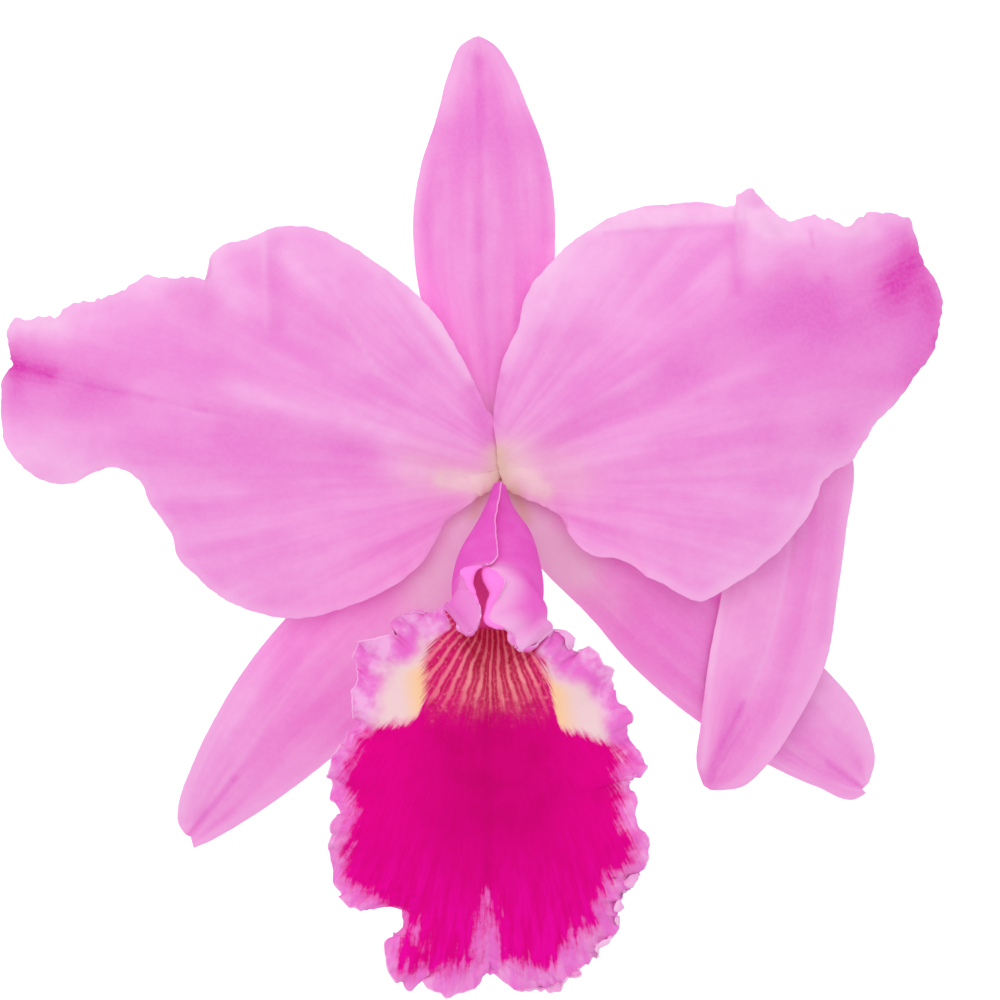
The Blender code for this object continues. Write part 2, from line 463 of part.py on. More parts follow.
def main():
    for item in list(bpy.data.objects):
        bpy.data.objects.remove(item)
    sepal("dorsal_sepal", DORSAL_MID, DORSAL_LEFT, DORSAL_RIGHT, PALE_PINK)
    sepal("left_lateral_sepal", LEFT_LATERAL_MID, LEFT_LATERAL_INNER, LEFT_LATERAL_OUTER, PALE_PINK)
    sepal("right_lateral_sepal", RIGHT_LATERAL_MID, RIGHT_LATERAL_OUTER, RIGHT_LATERAL_INNER, PALE_PINK)
    sepal("extra_sepal", EXTRA_MID, EXTRA_OUTER, EXTRA_INNER, PALE_PINK)
    petal("left_petal", LEFT_PETAL_MID, LEFT_PETAL_LOWER, LEFT_PETAL_UPPER)
    petal("right_petal", RIGHT_PETAL_MID, RIGHT_PETAL_UPPER, RIGHT_PETAL_LOWER)
    lip()
    column()
    anther_cap()
    ovary_and_stalk()


main()
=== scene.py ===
"""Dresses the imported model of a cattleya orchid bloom, which lies face up: fine sepals, petals and lip
with their veins, flushes and ruffles, the column with its cap, the ribbed ovary with its stalk, and a
stage to look at it on.

Shapes are worked out in millimetres and put into meshes in metres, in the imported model's own frame."""

import json
import math

import bpy
import numpy as np
from bpy.props import FloatProperty, FloatVectorProperty, PointerProperty
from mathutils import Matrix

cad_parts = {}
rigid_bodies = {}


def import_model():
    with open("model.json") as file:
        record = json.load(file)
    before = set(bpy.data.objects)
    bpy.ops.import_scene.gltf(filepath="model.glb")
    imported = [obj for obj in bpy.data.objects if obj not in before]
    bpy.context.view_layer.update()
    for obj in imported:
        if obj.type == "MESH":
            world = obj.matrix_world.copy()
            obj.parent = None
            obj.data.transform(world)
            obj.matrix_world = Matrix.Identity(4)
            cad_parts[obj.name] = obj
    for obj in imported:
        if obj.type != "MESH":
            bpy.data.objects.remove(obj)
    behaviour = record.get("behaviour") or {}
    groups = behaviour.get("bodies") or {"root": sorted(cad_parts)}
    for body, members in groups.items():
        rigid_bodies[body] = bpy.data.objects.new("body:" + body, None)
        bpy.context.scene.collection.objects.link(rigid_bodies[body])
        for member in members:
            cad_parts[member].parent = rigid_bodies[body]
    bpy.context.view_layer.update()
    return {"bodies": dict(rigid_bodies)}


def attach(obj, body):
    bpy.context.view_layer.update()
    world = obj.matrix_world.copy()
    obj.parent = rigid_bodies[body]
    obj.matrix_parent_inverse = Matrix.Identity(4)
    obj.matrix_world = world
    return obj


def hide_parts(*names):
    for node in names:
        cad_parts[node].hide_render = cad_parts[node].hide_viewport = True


bl_info = {
    "name": "Cattleya Orchid Bloom",
    "version": (1, 0, 0),
    "blender": (4, 5, 0),
    "location": "View3D > Sidebar > Bloom",
    "description": "Builds a picked orchid bloom with its stage around the packed model",
    "category": "Add Mesh",
}

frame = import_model()
BODY = next(iter(frame["bodies"]))
MM = 0.001

# The outlines below are drawn as they look from above the middle of the face, on the level of the petals.
# What lies lower is further from that point of view's axis than it is drawn, and what lies higher is
# nearer.
VIEW_AXIS = np.array([5.1, 1.2])
VIEW_LEVEL = 25.0
VIEW_HEIGHT = 850.0

# Each outline runs from the middle of the flower to a tip, as (x, y, z) in millimetres
DORSAL_MID = [
    (4.8, 7.8, 15.9), (4.4, 11.4, 17), (3.4, 21.6, 19.2), (2.7, 35.2, 20.3), (2.2, 48.8, 18.8),
    (1.9, 60.7, 14.2), (1.5, 70, 6.8), (1.4, 76.8, 0.6), (1.4, 79.95, 0.1),
]
DORSAL_LEFT = [
    (2.6, 7.5, 15.9), (-0.9, 13.9, 16.6), (-4.6, 23.3, 17.5), (-8.2, 35.2, 18), (-9.4, 43.9, 17.6),
    (-9.5, 49.5, 16.7), (-8.3, 57.6, 13.4), (-5.6, 66, 8.8), (-3.4, 74, 2.8), (-1.4, 78.4, 0.2),
    (0.9, 79.9, 0.1),
]
DORSAL_RIGHT = [
    (7, 7.5, 15.9), (9.2, 13.9, 16.6), (11.7, 23.3, 17.5), (13.6, 33.5, 18), (14.3, 43.9, 17.4),
    (14.1, 52.4, 15.6), (12.8, 59.5, 12.8), (9.4, 68.7, 7.2), (6.6, 75, 2.2), (4.2, 78.4, 0.2),
    (1.9, 79.9, 0.1),
]
LEFT_LATERAL_MID = [
    (2.7, 3.4, 15.9), (-5.1, -5.6, 16.9), (-15.3, -16.2, 17.2), (-27.2, -28.4, 14.8),
    (-37.4, -40.5, 10), (-43.9, -49.5, 3.8), (-46.2, -53.7, 0.5), (-47.4, -55.9, 0.1),
]
LEFT_LATERAL_OUTER = [
    (1, 4.9, 15.9), (-8.5, -0.9, 16.4), (-20.4, -9, 16.2), (-31.1, -18.9, 14.2), (-37.9, -27.2, 12),
    (-43.5, -36.4, 8.6), (-47.3, -44.4, 4.8), (-49.5, -51.3, 1.2), (-49.5, -53.6, 0.2),
    (-48.3, -55.6, 0.1),
]
LEFT_LATERAL_INNER = [
    (4.2, 1.5, 15.9), (3.2, -6.5, 16.6), (-0.3, -16.7, 16.4), (-6.8, -26.9, 14.6),
    (-14.5, -35, 12.2), (-23.3, -42.3, 9.4), (-31.5, -48.6, 6), (-38.9, -53.6, 2.4),
    (-45.2, -57.1, 0.3), (-46.9, -57.8, 0.1),
]
RIGHT_LATERAL_MID = [
    (7, 3.4, 15.9), (15.3, -5.3, 16.6), (25.5, -16.2, 15.8), (37.4, -27.2, 11.8),
    (49.3, -37.1, 6.6), (59.5, -44.5, 1.8), (64.3, -46.9, 0.4), (66.5, -47.9, 0.1),
]
RIGHT_LATERAL_OUTER = [
    (8.7, 4.9, 15.9), (22.1, -0.5, 15.8), (37.4, -9.4, 13.4), (51, -19.2, 9.8), (60.4, -27.7, 6.2),
    (65.5, -33.7, 3.8), (67.8, -38.4, 2), (68.7, -43.4, 0.3), (67.7, -46.9, 0.1),
]
RIGHT_LATERAL_INNER = [
    (5.4, 1.4, 15.9), (8.2, -5.3, 16.2), (12.1, -10.2, 15.8), (20.2, -18.2, 14), (26.9, -26, 11.6),
    (39.3, -36.6, 6.8), (50.5, -43.5, 2.8), (58.7, -47.3, 0.8), (65.6, -49.5, 0.1),
    (67.2, -48.6, 0.1),
]
EXTRA_MID = [
    (7.5, 5.8, 17.1), (22.1, 9.7, 17.4), (37.4, 12.1, 17), (48.6, 9.4, 16.2), (54.6, -1.4, 15.2),
    (53.2, -15.8, 13.6), (47.6, -32.8, 10.8), (41, -48, 7),
]
EXTRA_OUTER = [
    (7.5, 7.1, 17.1), (22.1, 15.8, 17), (39.1, 20.2, 16.4), (53.7, 19.6, 15.4), (62.2, 14.8, 14.4),
    (64.9, 8.3, 13.9), (63.8, -4.2, 13.2), (62.4, -14.6, 12.2), (60.2, -26.9, 10.8),
    (55.6, -36.2, 9.6), (50.7, -43.4, 8.6), (46.2, -47.4, 7.6), (42.2, -48.1, 7),
]
EXTRA_INNER = [
    (7.5, 4.4, 17.1), (22.1, 4.2, 17.2), (34.7, 3.6, 16.6), (41.8, -0.5, 15.6), (43.9, -7, 14.6),
    (43, -13.9, 14.4), (41, -24.3, 13.2), (39.4, -36.7, 10.2), (38.8, -44.4, 7.8), (39.8, -47.3, 7),
]
LEFT_PETAL_MID = [
    (4.4, 6.4, 20), (-1.4, 5, 20.3), (-9.4, 7.5, 23.4), (-23.5, 11.1, 27.6), (-34.9, 14.5, 29.6),
    (-46.1, 16.7, 30), (-55.6, 18.9, 29), (-62.9, 20.2, 27.5), (-71.4, 22.3, 25), (-77.5, 24.1, 22),
]
LEFT_PETAL_UPPER = [
    (4.4, 7.5, 20), (4.1, 9.6, 20.2), (3.6, 13.1, 20.8), (1.5, 19.3, 21.9), (-1.7, 25.6, 23),
    (-5.1, 31.3, 24), (-8.9, 35.8, 24.7), (-13.7, 39.8, 25), (-20.2, 44.2, 25), (-28.9, 47.9, 24.2),
    (-32.8, 47.6, 23.6), (-35.7, 46.6, 24.6), (-37.9, 45.7, 25.2), (-42.2, 44.4, 25.4),
    (-44, 42.7, 26), (-44.9, 38.8, 28), (-47.6, 39.1, 27.2), (-50.7, 38.9, 25.6),
    (-54.2, 39.3, 24.4), (-57.1, 37.9, 25.4), (-60, 36.4, 25.6), (-63.1, 35.5, 24),
    (-65.6, 34.7, 23.4), (-68.5, 34, 24.4), (-70.4, 32.1, 24.8), (-73.1, 32.5, 23.4),
    (-75.3, 31.8, 22.6), (-77.5, 32.1, 22), (-78.5, 30.4, 21.4), (-78.4, 27.5, 21.6),
    (-78, 25.3, 22),
]
LEFT_PETAL_LOWER = [
    (4.2, 5.4, 20), (2, 3.4, 20), (0.5, 1.2, 20), (-1.5, -0.5, 20), (-3.9, -2.2, 20.2),
    (-5.8, -5.6, 21), (-8.7, -9.9, 21.8), (-13.9, -13.9, 22.4), (-21.1, -17, 22.6),
    (-25.8, -18.4, 22.4), (-31.1, -18.9, 22), (-36.2, -17.9, 21.6), (-41, -15.8, 21.4),
    (-45.9, -12.2, 21.6), (-49.6, -8.3, 22.4), (-50.7, -4.6, 24), (-52.5, -1.9, 25),
    (-54.7, 1.2, 25), (-55.6, 3.7, 26), (-57.1, 5.4, 27), (-60.4, 6.8, 27), (-64.6, 5.6, 25),
    (-67.5, 4.1, 23.6), (-71.7, 4.2, 22.8), (-75, 6, 23), (-77.4, 8.5, 23.4), (-78.9, 10.5, 22.4),
    (-79.6, 15.1, 21), (-79.7, 19.6, 21), (-79.2, 21.9, 21.6), (-78.2, 23.5, 22),
]
RIGHT_PETAL_MID = [
    (5.2, 6.4, 20), (11.1, 7, 20.6), (17, 11.4, 24), (27, 16, 28), (36.7, 20.9, 30),
    (46.8, 25.7, 30.6), (58.1, 32, 30), (68, 36.7, 27.6), (74, 39.8, 24.6), (77, 41.3, 22.4),
]
RIGHT_PETAL_UPPER = [
    (5.2, 7.5, 20), (4.9, 9.5, 20.2), (4.2, 13.6, 20.9), (4.6, 19.7, 21.6), (5.7, 24.8, 22.5),
    (7.2, 28.2, 23), (8.3, 30.6, 23.5), (9, 34.2, 24.1), (10.9, 38.1, 24.6), (14.2, 41.8, 25.2),
    (17.5, 44.9, 25.4), (21.1, 47.3, 25.2), (24.8, 49.3, 25), (29.1, 50.8, 25), (33.8, 51.3, 25.2),
    (39.6, 51.7, 25.8), (45.1, 51.2, 27), (45.9, 53, 29), (47.3, 54.1, 29.4), (49.3, 52.7, 28.4),
    (51.5, 50.3, 26.8), (53.9, 48.6, 25.6), (57.3, 49.3, 24.6), (60.9, 48.8, 25.2),
    (64.1, 47.4, 26.4), (65.8, 48.6, 25.4), (67.7, 49.5, 24.2), (69, 50.2, 24), (71.9, 49.3, 24),
    (74.8, 49.1, 23.4), (75.5, 46.6, 22.6), (76.2, 43.5, 22.4), (76.8, 42, 22.4),
]
RIGHT_PETAL_LOWER = [
    (5.4, 5.4, 20), (7.2, 3.7, 20), (8.2, 2.4, 20), (9.7, 1.5, 20.1), (12.4, 0.3, 20.4),
    (15.1, -1.2, 21.4), (16.8, -4.2, 23), (18.5, -6.5, 23.6), (21.6, -8.3, 23.2),
    (24.7, -8.7, 22.6), (27.7, -9.9, 23), (30.1, -11.7, 23.8), (32.8, -12.9, 23.4),
    (35.5, -14.6, 22.8), (38.4, -15.8, 22.4), (44.2, -13.4, 22), (48.5, -10.4, 21.8),
    (53.2, -6.5, 21.8), (57.1, -1.7, 22), (61.5, 5.8, 22.6), (64.9, 7.8, 23.6), (66.3, 10.2, 24),
    (68, 12.9, 23.4), (69.2, 14.8, 22.8), (71.2, 16.7, 23.4), (73.8, 19.7, 23.6), (75, 21.4, 22.8),
    (77.7, 25, 22.4), (79.2, 27.7, 23.2), (79.6, 30.8, 22.8), (80.1, 33.8, 21.8), (79.9, 36.6, 22),
    (78.9, 38.6, 22.6), (77.7, 40.5, 22.4),
]
LIP_MID = [
    (4.8, 3.2, 19.9), (4.8, -0.8, 21.4), (4.8, -4.2, 23.8), (4.6, -8.7, 27.4), (4.2, -14.1, 31.2),
    (3.9, -20.1, 34.6), (3.6, -26.4, 38.6), (3.4, -32.8, 42.2), (3.4, -38.8, 44.6),
    (3.4, -46.4, 45.8), (3.4, -54.9, 45), (3.4, -63.4, 42.8), (3.2, -71.9, 39.6),
    (3.2, -79.1, 36.5),
]
LIP_LEFT = [
    (5.3, 4.3, 26.6), (4.9, 1.9, 30.4), (4.4, -1.4, 34.8), (4.2, -4.9, 39), (4.6, -7.7, 42.4),
    (3.7, -9.5, 45), (2.2, -10.1, 46.6), (1.1, -10.8, 48), (0.6, -11.8, 48.7), (0.5, -12.8, 49),
    (0.7, -13.8, 49.1), (1, -14.8, 49.3), (1.3, -15.9, 49.7), (1.7, -17.4, 50.3), (1.7, -19.2, 51),
    (0.9, -21.2, 50.6), (-0.3, -21.9, 49), (-1.5, -20.9, 47), (-2.4, -18.7, 45),
    (-3.9, -17.2, 43.6), (-6.8, -18, 44.6), (-9.4, -17.7, 46.4), (-11.4, -18.5, 44.8),
    (-13.3, -19.9, 42.6), (-12.6, -21.9, 43.4), (-15.3, -22.4, 45.4), (-18.7, -22.8, 43),
    (-19.2, -25.7, 41.2), (-19.2, -28.7, 43), (-19.9, -31.6, 45.2), (-19.9, -34.5, 44),
    (-19.2, -36.6, 41.4), (-21.1, -39.6, 42.4), (-23.1, -42.5, 45.4), (-23.8, -44.9, 44.2),
    (-23.6, -47.3, 41.8), (-23.6, -49.5, 41.6), (-22.4, -51.2, 43.8), (-23, -53.2, 45.6),
    (-23.8, -55.6, 45.6), (-24.3, -58, 43.4), (-23.6, -61.2, 40.8), (-22.8, -64.8, 40.6),
    (-21.1, -67.5, 42.8), (-18.7, -68.3, 44), (-16.5, -68.7, 42.6), (-15.3, -67.7, 40),
    (-13.1, -67.7, 39.2), (-11.4, -69.2, 40.8), (-11.4, -71.1, 41.6), (-12.2, -72.9, 40.4),
    (-14.6, -74.3, 41.4), (-13.9, -77.4, 42), (-12.1, -80.8, 39.8), (-10.2, -81.9, 38),
    (-8.8, -80.4, 37.6), (-6.6, -81.9, 39.6), (-4.1, -83.1, 40), (-1.4, -82.6, 38),
    (1.2, -80.8, 36.6), (2.7, -79.4, 36.4),
]
LIP_RIGHT = [
    (4.6, 3.9, 25), (3.7, 1.5, 28.4), (3.1, -1.5, 32.6), (2.9, -4.9, 36.8), (2.9, -7.5, 40.2),
    (2.6, -9.2, 43), (1.9, -10.6, 45.4), (2, -11.5, 47), (2.3, -12.6, 48.2), (2.9, -13.7, 48.8),
    (3.3, -14.7, 48.8), (3, -15.9, 48.8), (2.6, -17.5, 49.2), (2.6, -19.4, 50.2),
    (4.2, -20.4, 50.6), (6.3, -21.1, 50), (6.8, -22.8, 49.6), (8.2, -24.5, 49), (10.2, -24.3, 47.2),
    (11.9, -22.4, 45.2), (13.4, -20.9, 44), (14.8, -20.9, 45), (16.7, -21.9, 46.6),
    (17.9, -24.7, 44.2), (19.9, -24, 43.4), (21.9, -25.8, 45.2), (24.3, -28.6, 43.4),
    (24.1, -31.3, 41.4), (26, -33.2, 43), (27.5, -36.6, 45), (27, -38.9, 43), (29.1, -41.5, 42),
    (29.9, -44.4, 44), (28.9, -45.9, 45), (26.4, -45.6, 42.4), (26.5, -47.1, 40.4),
    (28.2, -48.8, 41.4), (28.6, -50.8, 43), (28.6, -53.2, 43.8), (29.9, -55.6, 44.4),
    (29.9, -59, 42.4), (28.6, -62.7, 40.6), (26.7, -65.5, 42), (25.5, -66.8, 43), (25, -69.2, 41.2),
    (25.2, -71.7, 39), (23.3, -73.6, 40), (21.4, -74.3, 41.2), (21.6, -75.8, 39.4),
    (19.7, -77.2, 38), (17.3, -79.7, 40), (14.3, -81.6, 38.8), (11.4, -81.8, 37),
    (8.3, -82.1, 38.4), (5.8, -80.8, 37.4), (3.7, -79.4, 36.5),
]
STALK = [
    (4.8, 5.4, 15.1), (4.8, 5.3, 12.5), (4.8, 4.1, 9.4), (4.7, 1.2, 6.4), (4.6, -3.9, 4.4),
    (4.5, -12.4, 3.3), (4.3, -26, 2.9), (4.2, -41.3, 2.7), (4.1, -54.9, 2.6),
]
COLUMN = [
    (4.8, 1.6, 23.8), (4.8, 0.5, 24.8), (4.7, -3.9, 28.4), (4.6, -9.3, 33.2),
]

# Where along the lip, as shares of its margin's run, the middle of its floor lies at each of its points
LIP_MID_SHARES = (0, 0.033, 0.055, 0.085, 0.115, 0.15, 0.22, 0.36, 0.45, 0.54, 0.66, 0.77, 0.89, 1)
# The end of the overlapping seam and the end of the turned-out flap, as (point of the margin, share)
LIP_LEFT_PINS = ((0, 0), (5, 0.16), (20, 0.36), (-1, 1))
LIP_RIGHT_PINS = ((0, 0), (5, 0.16), (21, 0.36), (-1, 1))
# How far each half of the lip's tube swings out and up between floor and margin, as (share, left x and y,
# right x and y), and the shares between which the tube opens
LIP_SWING = (
    (0, -0.9, 0, 1.2, 0), (0.033, -1.9, 0, 2.7, 0), (0.071, -3.8, 0, 5.9, 0), (0.109, -6, 0, 7.9, 0),
    (0.16, -6.3, 0.5, 8.9, 1), (0.2, -4.3, 3, 8, 3.5), (0.24, -5.5, 4.2, 9.2, 5),
    (0.28, -5.2, 6.8, 7.5, 5.5), (0.32, -3.5, 5.3, 6.3, 5.2), (0.36, -0.5, 0.5, 0.8, 0.5),
    (0.42, 0, 0, 0, 0), (1, 0, 0, 0, 0),
)
LIP_TUBE_ENDS = (0.2, 0.42)
# How many millimetres of the lip's margin are rolled back on itself, as (share, left, right), and how
# much of the half's width a full roll takes
LIP_ROLLS = (
    (0, 0, 0), (0.165, 0, 0), (0.186, 2.2, 2.4), (0.203, 2.6, 3.4), (0.222, 0.6, 1.8), (0.24, 0.1, 0.5),
    (0.27, 0.3, 0.4), (0.31, 0.8, 1), (0.36, 0.5, 0.5), (0.42, 0, 0), (0.74, 0, 0), (0.757, 0, 1.8),
    (0.775, 0, 0.2), (1, 0, 0),
)
ROLL_WIDTH = 0.25
# Where the front lobe has its full crown and droop, as a share of the lip's run
LIP_FULL_FROM = 0.6
LIP_CROWN = 1.6
LIP_DROOP = 4.0
SEPAL_CROWN = 0.6
PETAL_CROWN = 1.2

# Rows along a blade and columns across each half of it, and how much of its run its fine waves are read
# over
SEPAL_GRID = (160, 26)
SEPAL_CALM = 1 / 16
PETAL_GRID = (400, 38)
PETAL_CALM = 3 / 36
LIP_GRID = (620, 36)
LIP_CALM = 3.5 / 72
# How soft the fold along a blade's middle line is, as a share of its half-width, and the power with which
# the lip's fine waves fade inwards
RIB_SOFTNESS = 0.08
LIP_WAVE_FADE = 7

# How far from its base and from its tip a blade's soft bands have their full height, and how far in from
# the margin a sepal or petal and the lip have their full thickness
BANDS_FROM_BASE = 30
BANDS_FROM_TIP = 14
FULL_THICKNESS_FROM = 14
LIP_FULL_THICKNESS_FROM = 8
# How many soft bands and how many narrow ones there are to a radian of a blade's fan
WIDE_BANDS = 7
NARROW_BANDS = 23
# Long and short waves of a sepal's or petal's margin, as (length, reach inwards), and its teeth alike
LONG_WAVE = (2.3, 1.6)
SHORT_WAVE = (0.9, 0.8)
LONG_TOOTH = (1.9, 0.7)
SHORT_TOOTH = (0.8, 0.7)
# The same for the lip
LIP_LONG_WAVE = (1.9, 2.4)
LIP_SHORT_WAVE = (0.9, 1.2)
LIP_LONG_TOOTH = (1.9, 1.1)
LIP_SHORT_TOOTH = (0.8, 1.1)

# The column as rings and sides, with its cap
COLUMN_GRID = (60, 48)
COLUMN_BASE_RADIUS = 0.7
COLUMN_TIP_RADIUS = 2.9
COLUMN_DEPTH_SHARE = 0.8
ANTHER_CAP_LENGTH = 2.4
ANTHER_CAP_GAP = 0.3
ANTHER_CAP_RINGS = 24
ANTHER_CAP_WIDTH_SHARE = 0.92
ANTHER_CAP_LOBING = 0.08

# The stalk as rings and sides, its radius, what the ovary and the receptacle add to it, and its spiral
# ribs
STALK_GRID = (180, 72)
STALK_RADIUS = 2.1
OVARY_SWELL = 0.8
RECEPTACLE_SWELL = 1.1
RIBS = 6
RIB_HEIGHT_SHARE = 0.07
# The receptacle's neck, on which the blades sit
NECK_RADIUS = 1.8
NECK_HEIGHTS = (19.0, 15.1)

# The stage: half the floor's side and its level in millimetres, the lamp's place and size in metres
FLOOR_REACH = 3000.0
FLOOR_LEVEL = -0.1
LAMP_PLACE = (-0.08, 0.2, 0.75)
LAMP_SIZE = (0.9, 0.5)
SENSOR_WIDTH = 36

SEPALS = {
    "dorsal_sepal": (DORSAL_MID, DORSAL_LEFT, DORSAL_RIGHT),
    "left_lateral_sepal": (LEFT_LATERAL_MID, LEFT_LATERAL_INNER, LEFT_LATERAL_OUTER),
    "right_lateral_sepal": (RIGHT_LATERAL_MID, RIGHT_LATERAL_OUTER, RIGHT_LATERAL_INNER),
    "extra_sepal": (EXTRA_MID, EXTRA_OUTER, EXTRA_INNER),
}
PETALS = {
    "left_petal": (LEFT_PETAL_MID, LEFT_PETAL_LOWER, LEFT_PETAL_UPPER),
    "right_petal": (RIGHT_PETAL_MID, RIGHT_PETAL_UPPER, RIGHT_PETAL_LOWER),
}
# Marks on the blades as drawn, each a soft line (start x, start y, end x, end y, half-width, amount)
FOLDS = {
    "left_petal": [
        (-34.9, 46, -34.4, 30.5, 0.9, 0.35), (-21.2, 31.8, -16.1, 23.3, 0.6, 0.12),
        (4.6, 8, 4.6, 6.5, 2.6, 0.7),
    ],
    "right_petal": [
        (46, 53.5, 46, 43, 0.8, 0.4), (23, 48.6, 45, 50.2, 1.0, 0.4), (49.6, 49.5, 51.4, 47.5, 1.2, 0.6),
        (4.6, 8, 4.6, 6.5, 2.6, 0.7),
    ],
}
# Where a blade's margin is tucked under its neighbour's, as (line, shift)
TUCKS = {
    "left_petal": [((4.4, 5, 3.4, 15, 1.6), (0.9, 0, -0.45)), ((3, 4.2, 2, 3.6, 1.2), (0, -1.2, 0))],
    "right_petal": [((4.8, 5, 4.4, 14, 1.6), (-0.1, 0, 0.1)), ((6.4, 4.4, 7.2, 3.8, 1.2), (0, -1.2, 0))],
}
# Paler marks: partly the blades' own paler tone, partly painted highlight on the crests of the petals'
# folds and creases and in a band just above the left petal's middle rib.
PALE_AND_LIT = {
    "left_petal": [
        # Painted highlight: the first line here lies just above the middle rib.
        (-41, 20.6, -14, 11.8, 2.3, 0.6), (-77, 30.5, -49, 36, 3.2, 0.4), (-76, 31, -70, 29.5, 2.4, 0.5),
        (-54, 38.4, -50, 38.2, 2.4, 0.5), (-43.4, 43, -40.5, 35.5, 2.8, 0.6),
        # Painted highlight: these two lines lie on the crests of a crease and of a fold.
        (-35.1, 46, -34.7, 30, 0.5, 0.25), (-21.2, 32.2, -15.8, 22.8, 0.3, 0.5),
        (-37, 44.5, -6, 32.5, 4.6, 0.35), (-8, 35, 2, 18, 1.6, 0.5), (-74, 12, -63, 8.5, 5, 0.3),
        (-75.5, 9.5, -68, 6.5, 2.5, 0.4), (-40, -14, -15, -12, 4.5, 0.3), (-15, 6, -3, 4.5, 2.5, 0.3),
        (-30, 44.5, -22, 42.5, 3, 0.45),
    ],
    "right_petal": [
        # Painted highlight: the first line here lies on the crest of the upper fold.
        (22, 48.3, 46, 50, 1.6, 1.0), (8.6, 27, 14.5, 41, 3, 0.45), (13, 40.5, 30, 48, 5, 0.5),
        # Painted highlight: these three lines lie on the crests of the folds near the upper margin.
        (49.5, 49.5, 51, 48.2, 1.6, 1.2), (45.5, 53, 45.7, 42, 0.5, 0.5), (46.8, 54, 48, 48, 1.8, 0.6),
        (51, 46.6, 68, 47, 2.4, 0.9), (50, 41, 64, 41.5, 5.5, 0.4), (28, -8, 42, -12, 5, 0.4),
        (14, 33, 24, 38, 5, 0.3), (12, 5, 28, 9, 3, 0.25), (50, -6, 62, 8, 4, 0.3),
    ],
    "dorsal_sepal": [(-4.6, 66, -0.5, 77.5, 2.2, 0.5), (7.5, 70, 3, 77.5, 1.6, 0.3)],
    "left_lateral_sepal": [(-49, -50, -38, -34, 4, 0.4)],
    "right_lateral_sepal": [(60, -33, 65, -40, 4, 0.4)],
    "extra_sepal": [(48, -4, 46, -26, 6, 0.6), (39.6, -44, 42.5, -14, 0.7, 0.6)],
}
# Deeper marks: partly the blades' own deeper tone, partly painted shade along both petals' middle ribs and
# just below the left one's, beside the petals' folds and creases, in the creases near the lateral and
# extra sepals' tips and across the dorsal sepal where its tip bends back, with a painted shadow of the
# right petal on the right lateral sepal.
DEEP_AND_SHADED = {
    "left_petal": [
        # Painted shade: the lines here and on the next line run along the middle rib and just below it.
        (-41, 13.4, -18, 8.6, 3.4, 0.6), (-65, 20.7, -54, 18.3, 0.6, 0.35),
        (-56, 18.7, -45, 16.4, 0.5, 0.3), (-46.5, 16.8, -36, 14.6, 0.4, 0.3),
        (-77, 24, -60, 19.6, 2.4, 0.4), (-49, 36.5, -45, 34.5, 3.6, 0.5),
        # Painted shade: the first line here lies beside a crease.
        (-33.2, 45, -32.6, 31, 1.6, 0.4), (0.6, 20, 3.4, 11.5, 2.2, 0.9), (-62, 24, -44, 24, 5, 0.25),
        (-44, 31, -22, 30.5, 5, 0.35), (-24, 29, -10, 24, 6, 0.2), (-60, 8, -30, 6, 4, 0.2),
        (-80, 18, -68, 17, 3.5, 0.45), (-60, 18, -42, 17.6, 3.5, 0.25),
    ],
    "right_petal": [
        # Painted shade: the first line here runs along the middle rib.
        (15.8, 12.2, 37, 22.5, 3.4, 0.35), (35, 24, 58, 34, 5, 0.5), (54, 33, 76, 34, 9, 0.8),
        # Painted shade: the first line here lies just below the upper fold.
        (23, 46.4, 45, 47.7, 0.5, 0.35), (57.8, 46.6, 58.2, 44, 0.5, 0.35),
        (60.3, 39, 60.7, 38.8, 0.5, 0.5), (5, 22, 4.2, 12.5, 1.4, 0.7), (62, 14, 74, 24, 5, 0.45),
        # Painted shadow: the second line here lies below the turned-up flap of the margin.
        (30, 4, 50, 12, 6, 0.15), (45, 45.5, 45.4, 37, 1.5, 0.6), (12, 28, 20, 30, 4, 0.3),
        (78, 34, 74, 21, 2.6, 0.4), (52, 11, 62, 12, 3.5, 0.35),
    ],
    "dorsal_sepal": [
        (1.3, 76, 1.8, 66, 0.8, 0.6), (1.8, 70, 1.5, 44, 0.8, 0.35), (1.5, 48, 2.2, 22, 0.9, 0.25),
        # Painted shade: the first line here crosses the sepal where its tip bends back.
        (-5, 64, 12, 63, 4.2, 0.6), (-6, 58, -7.5, 48, 1.8, 0.4), (12, 58, 13, 46, 1.6, 0.4),
        (2, 74, 2, 30, 9, 0.3),
    ],
    # Painted shade: the first line here lies in the crease near the tip.
    "left_lateral_sepal": [(-47.9, -55.8, -39.8, -45.8, 0.5, 0.9), (-40, -46, -34, -38, 0.8, 0.3)],
    # Painted shade in the crease near the tip, then a painted shadow of the right petal on this sepal.
    "right_lateral_sepal": [(60.8, -43.4, 66.8, -47.8, 0.5, 0.7), (22, -14, 38, -24, 7, 0.6)],
    "extra_sepal": [
        # Painted shade: the first three lines here lie in the crease near the tip.
        (46.2, -34.5, 40.6, -46.4, 1.4, 0.6), (46.4, -33, 42.5, -41, 0.4, 0.7),
        (47.4, -36, 43, -43, 0.4, 0.5), (62, 0, 60, -22, 1.5, 0.4),
    ],
}
FLUSH = {
    "left_petal": [
        (-78, 24, -71.5, 22.5, 1.8, 0.7), (-78, 27, -77, 20, 1.6, 0.4), (-75, 25, -64, 21, 3.4, 0.3),
    ],
    "right_petal": [
        (75.6, 41.2, 72, 38.4, 3.6, 0.75), (72, 35, 74.8, 44, 3.2, 0.35), (77.6, 37, 80, 28, 1.8, 0.5),
        (79, 28, 75, 21, 1.4, 0.35), (74, 34, 62, 32, 4, 0.15),
    ],
}
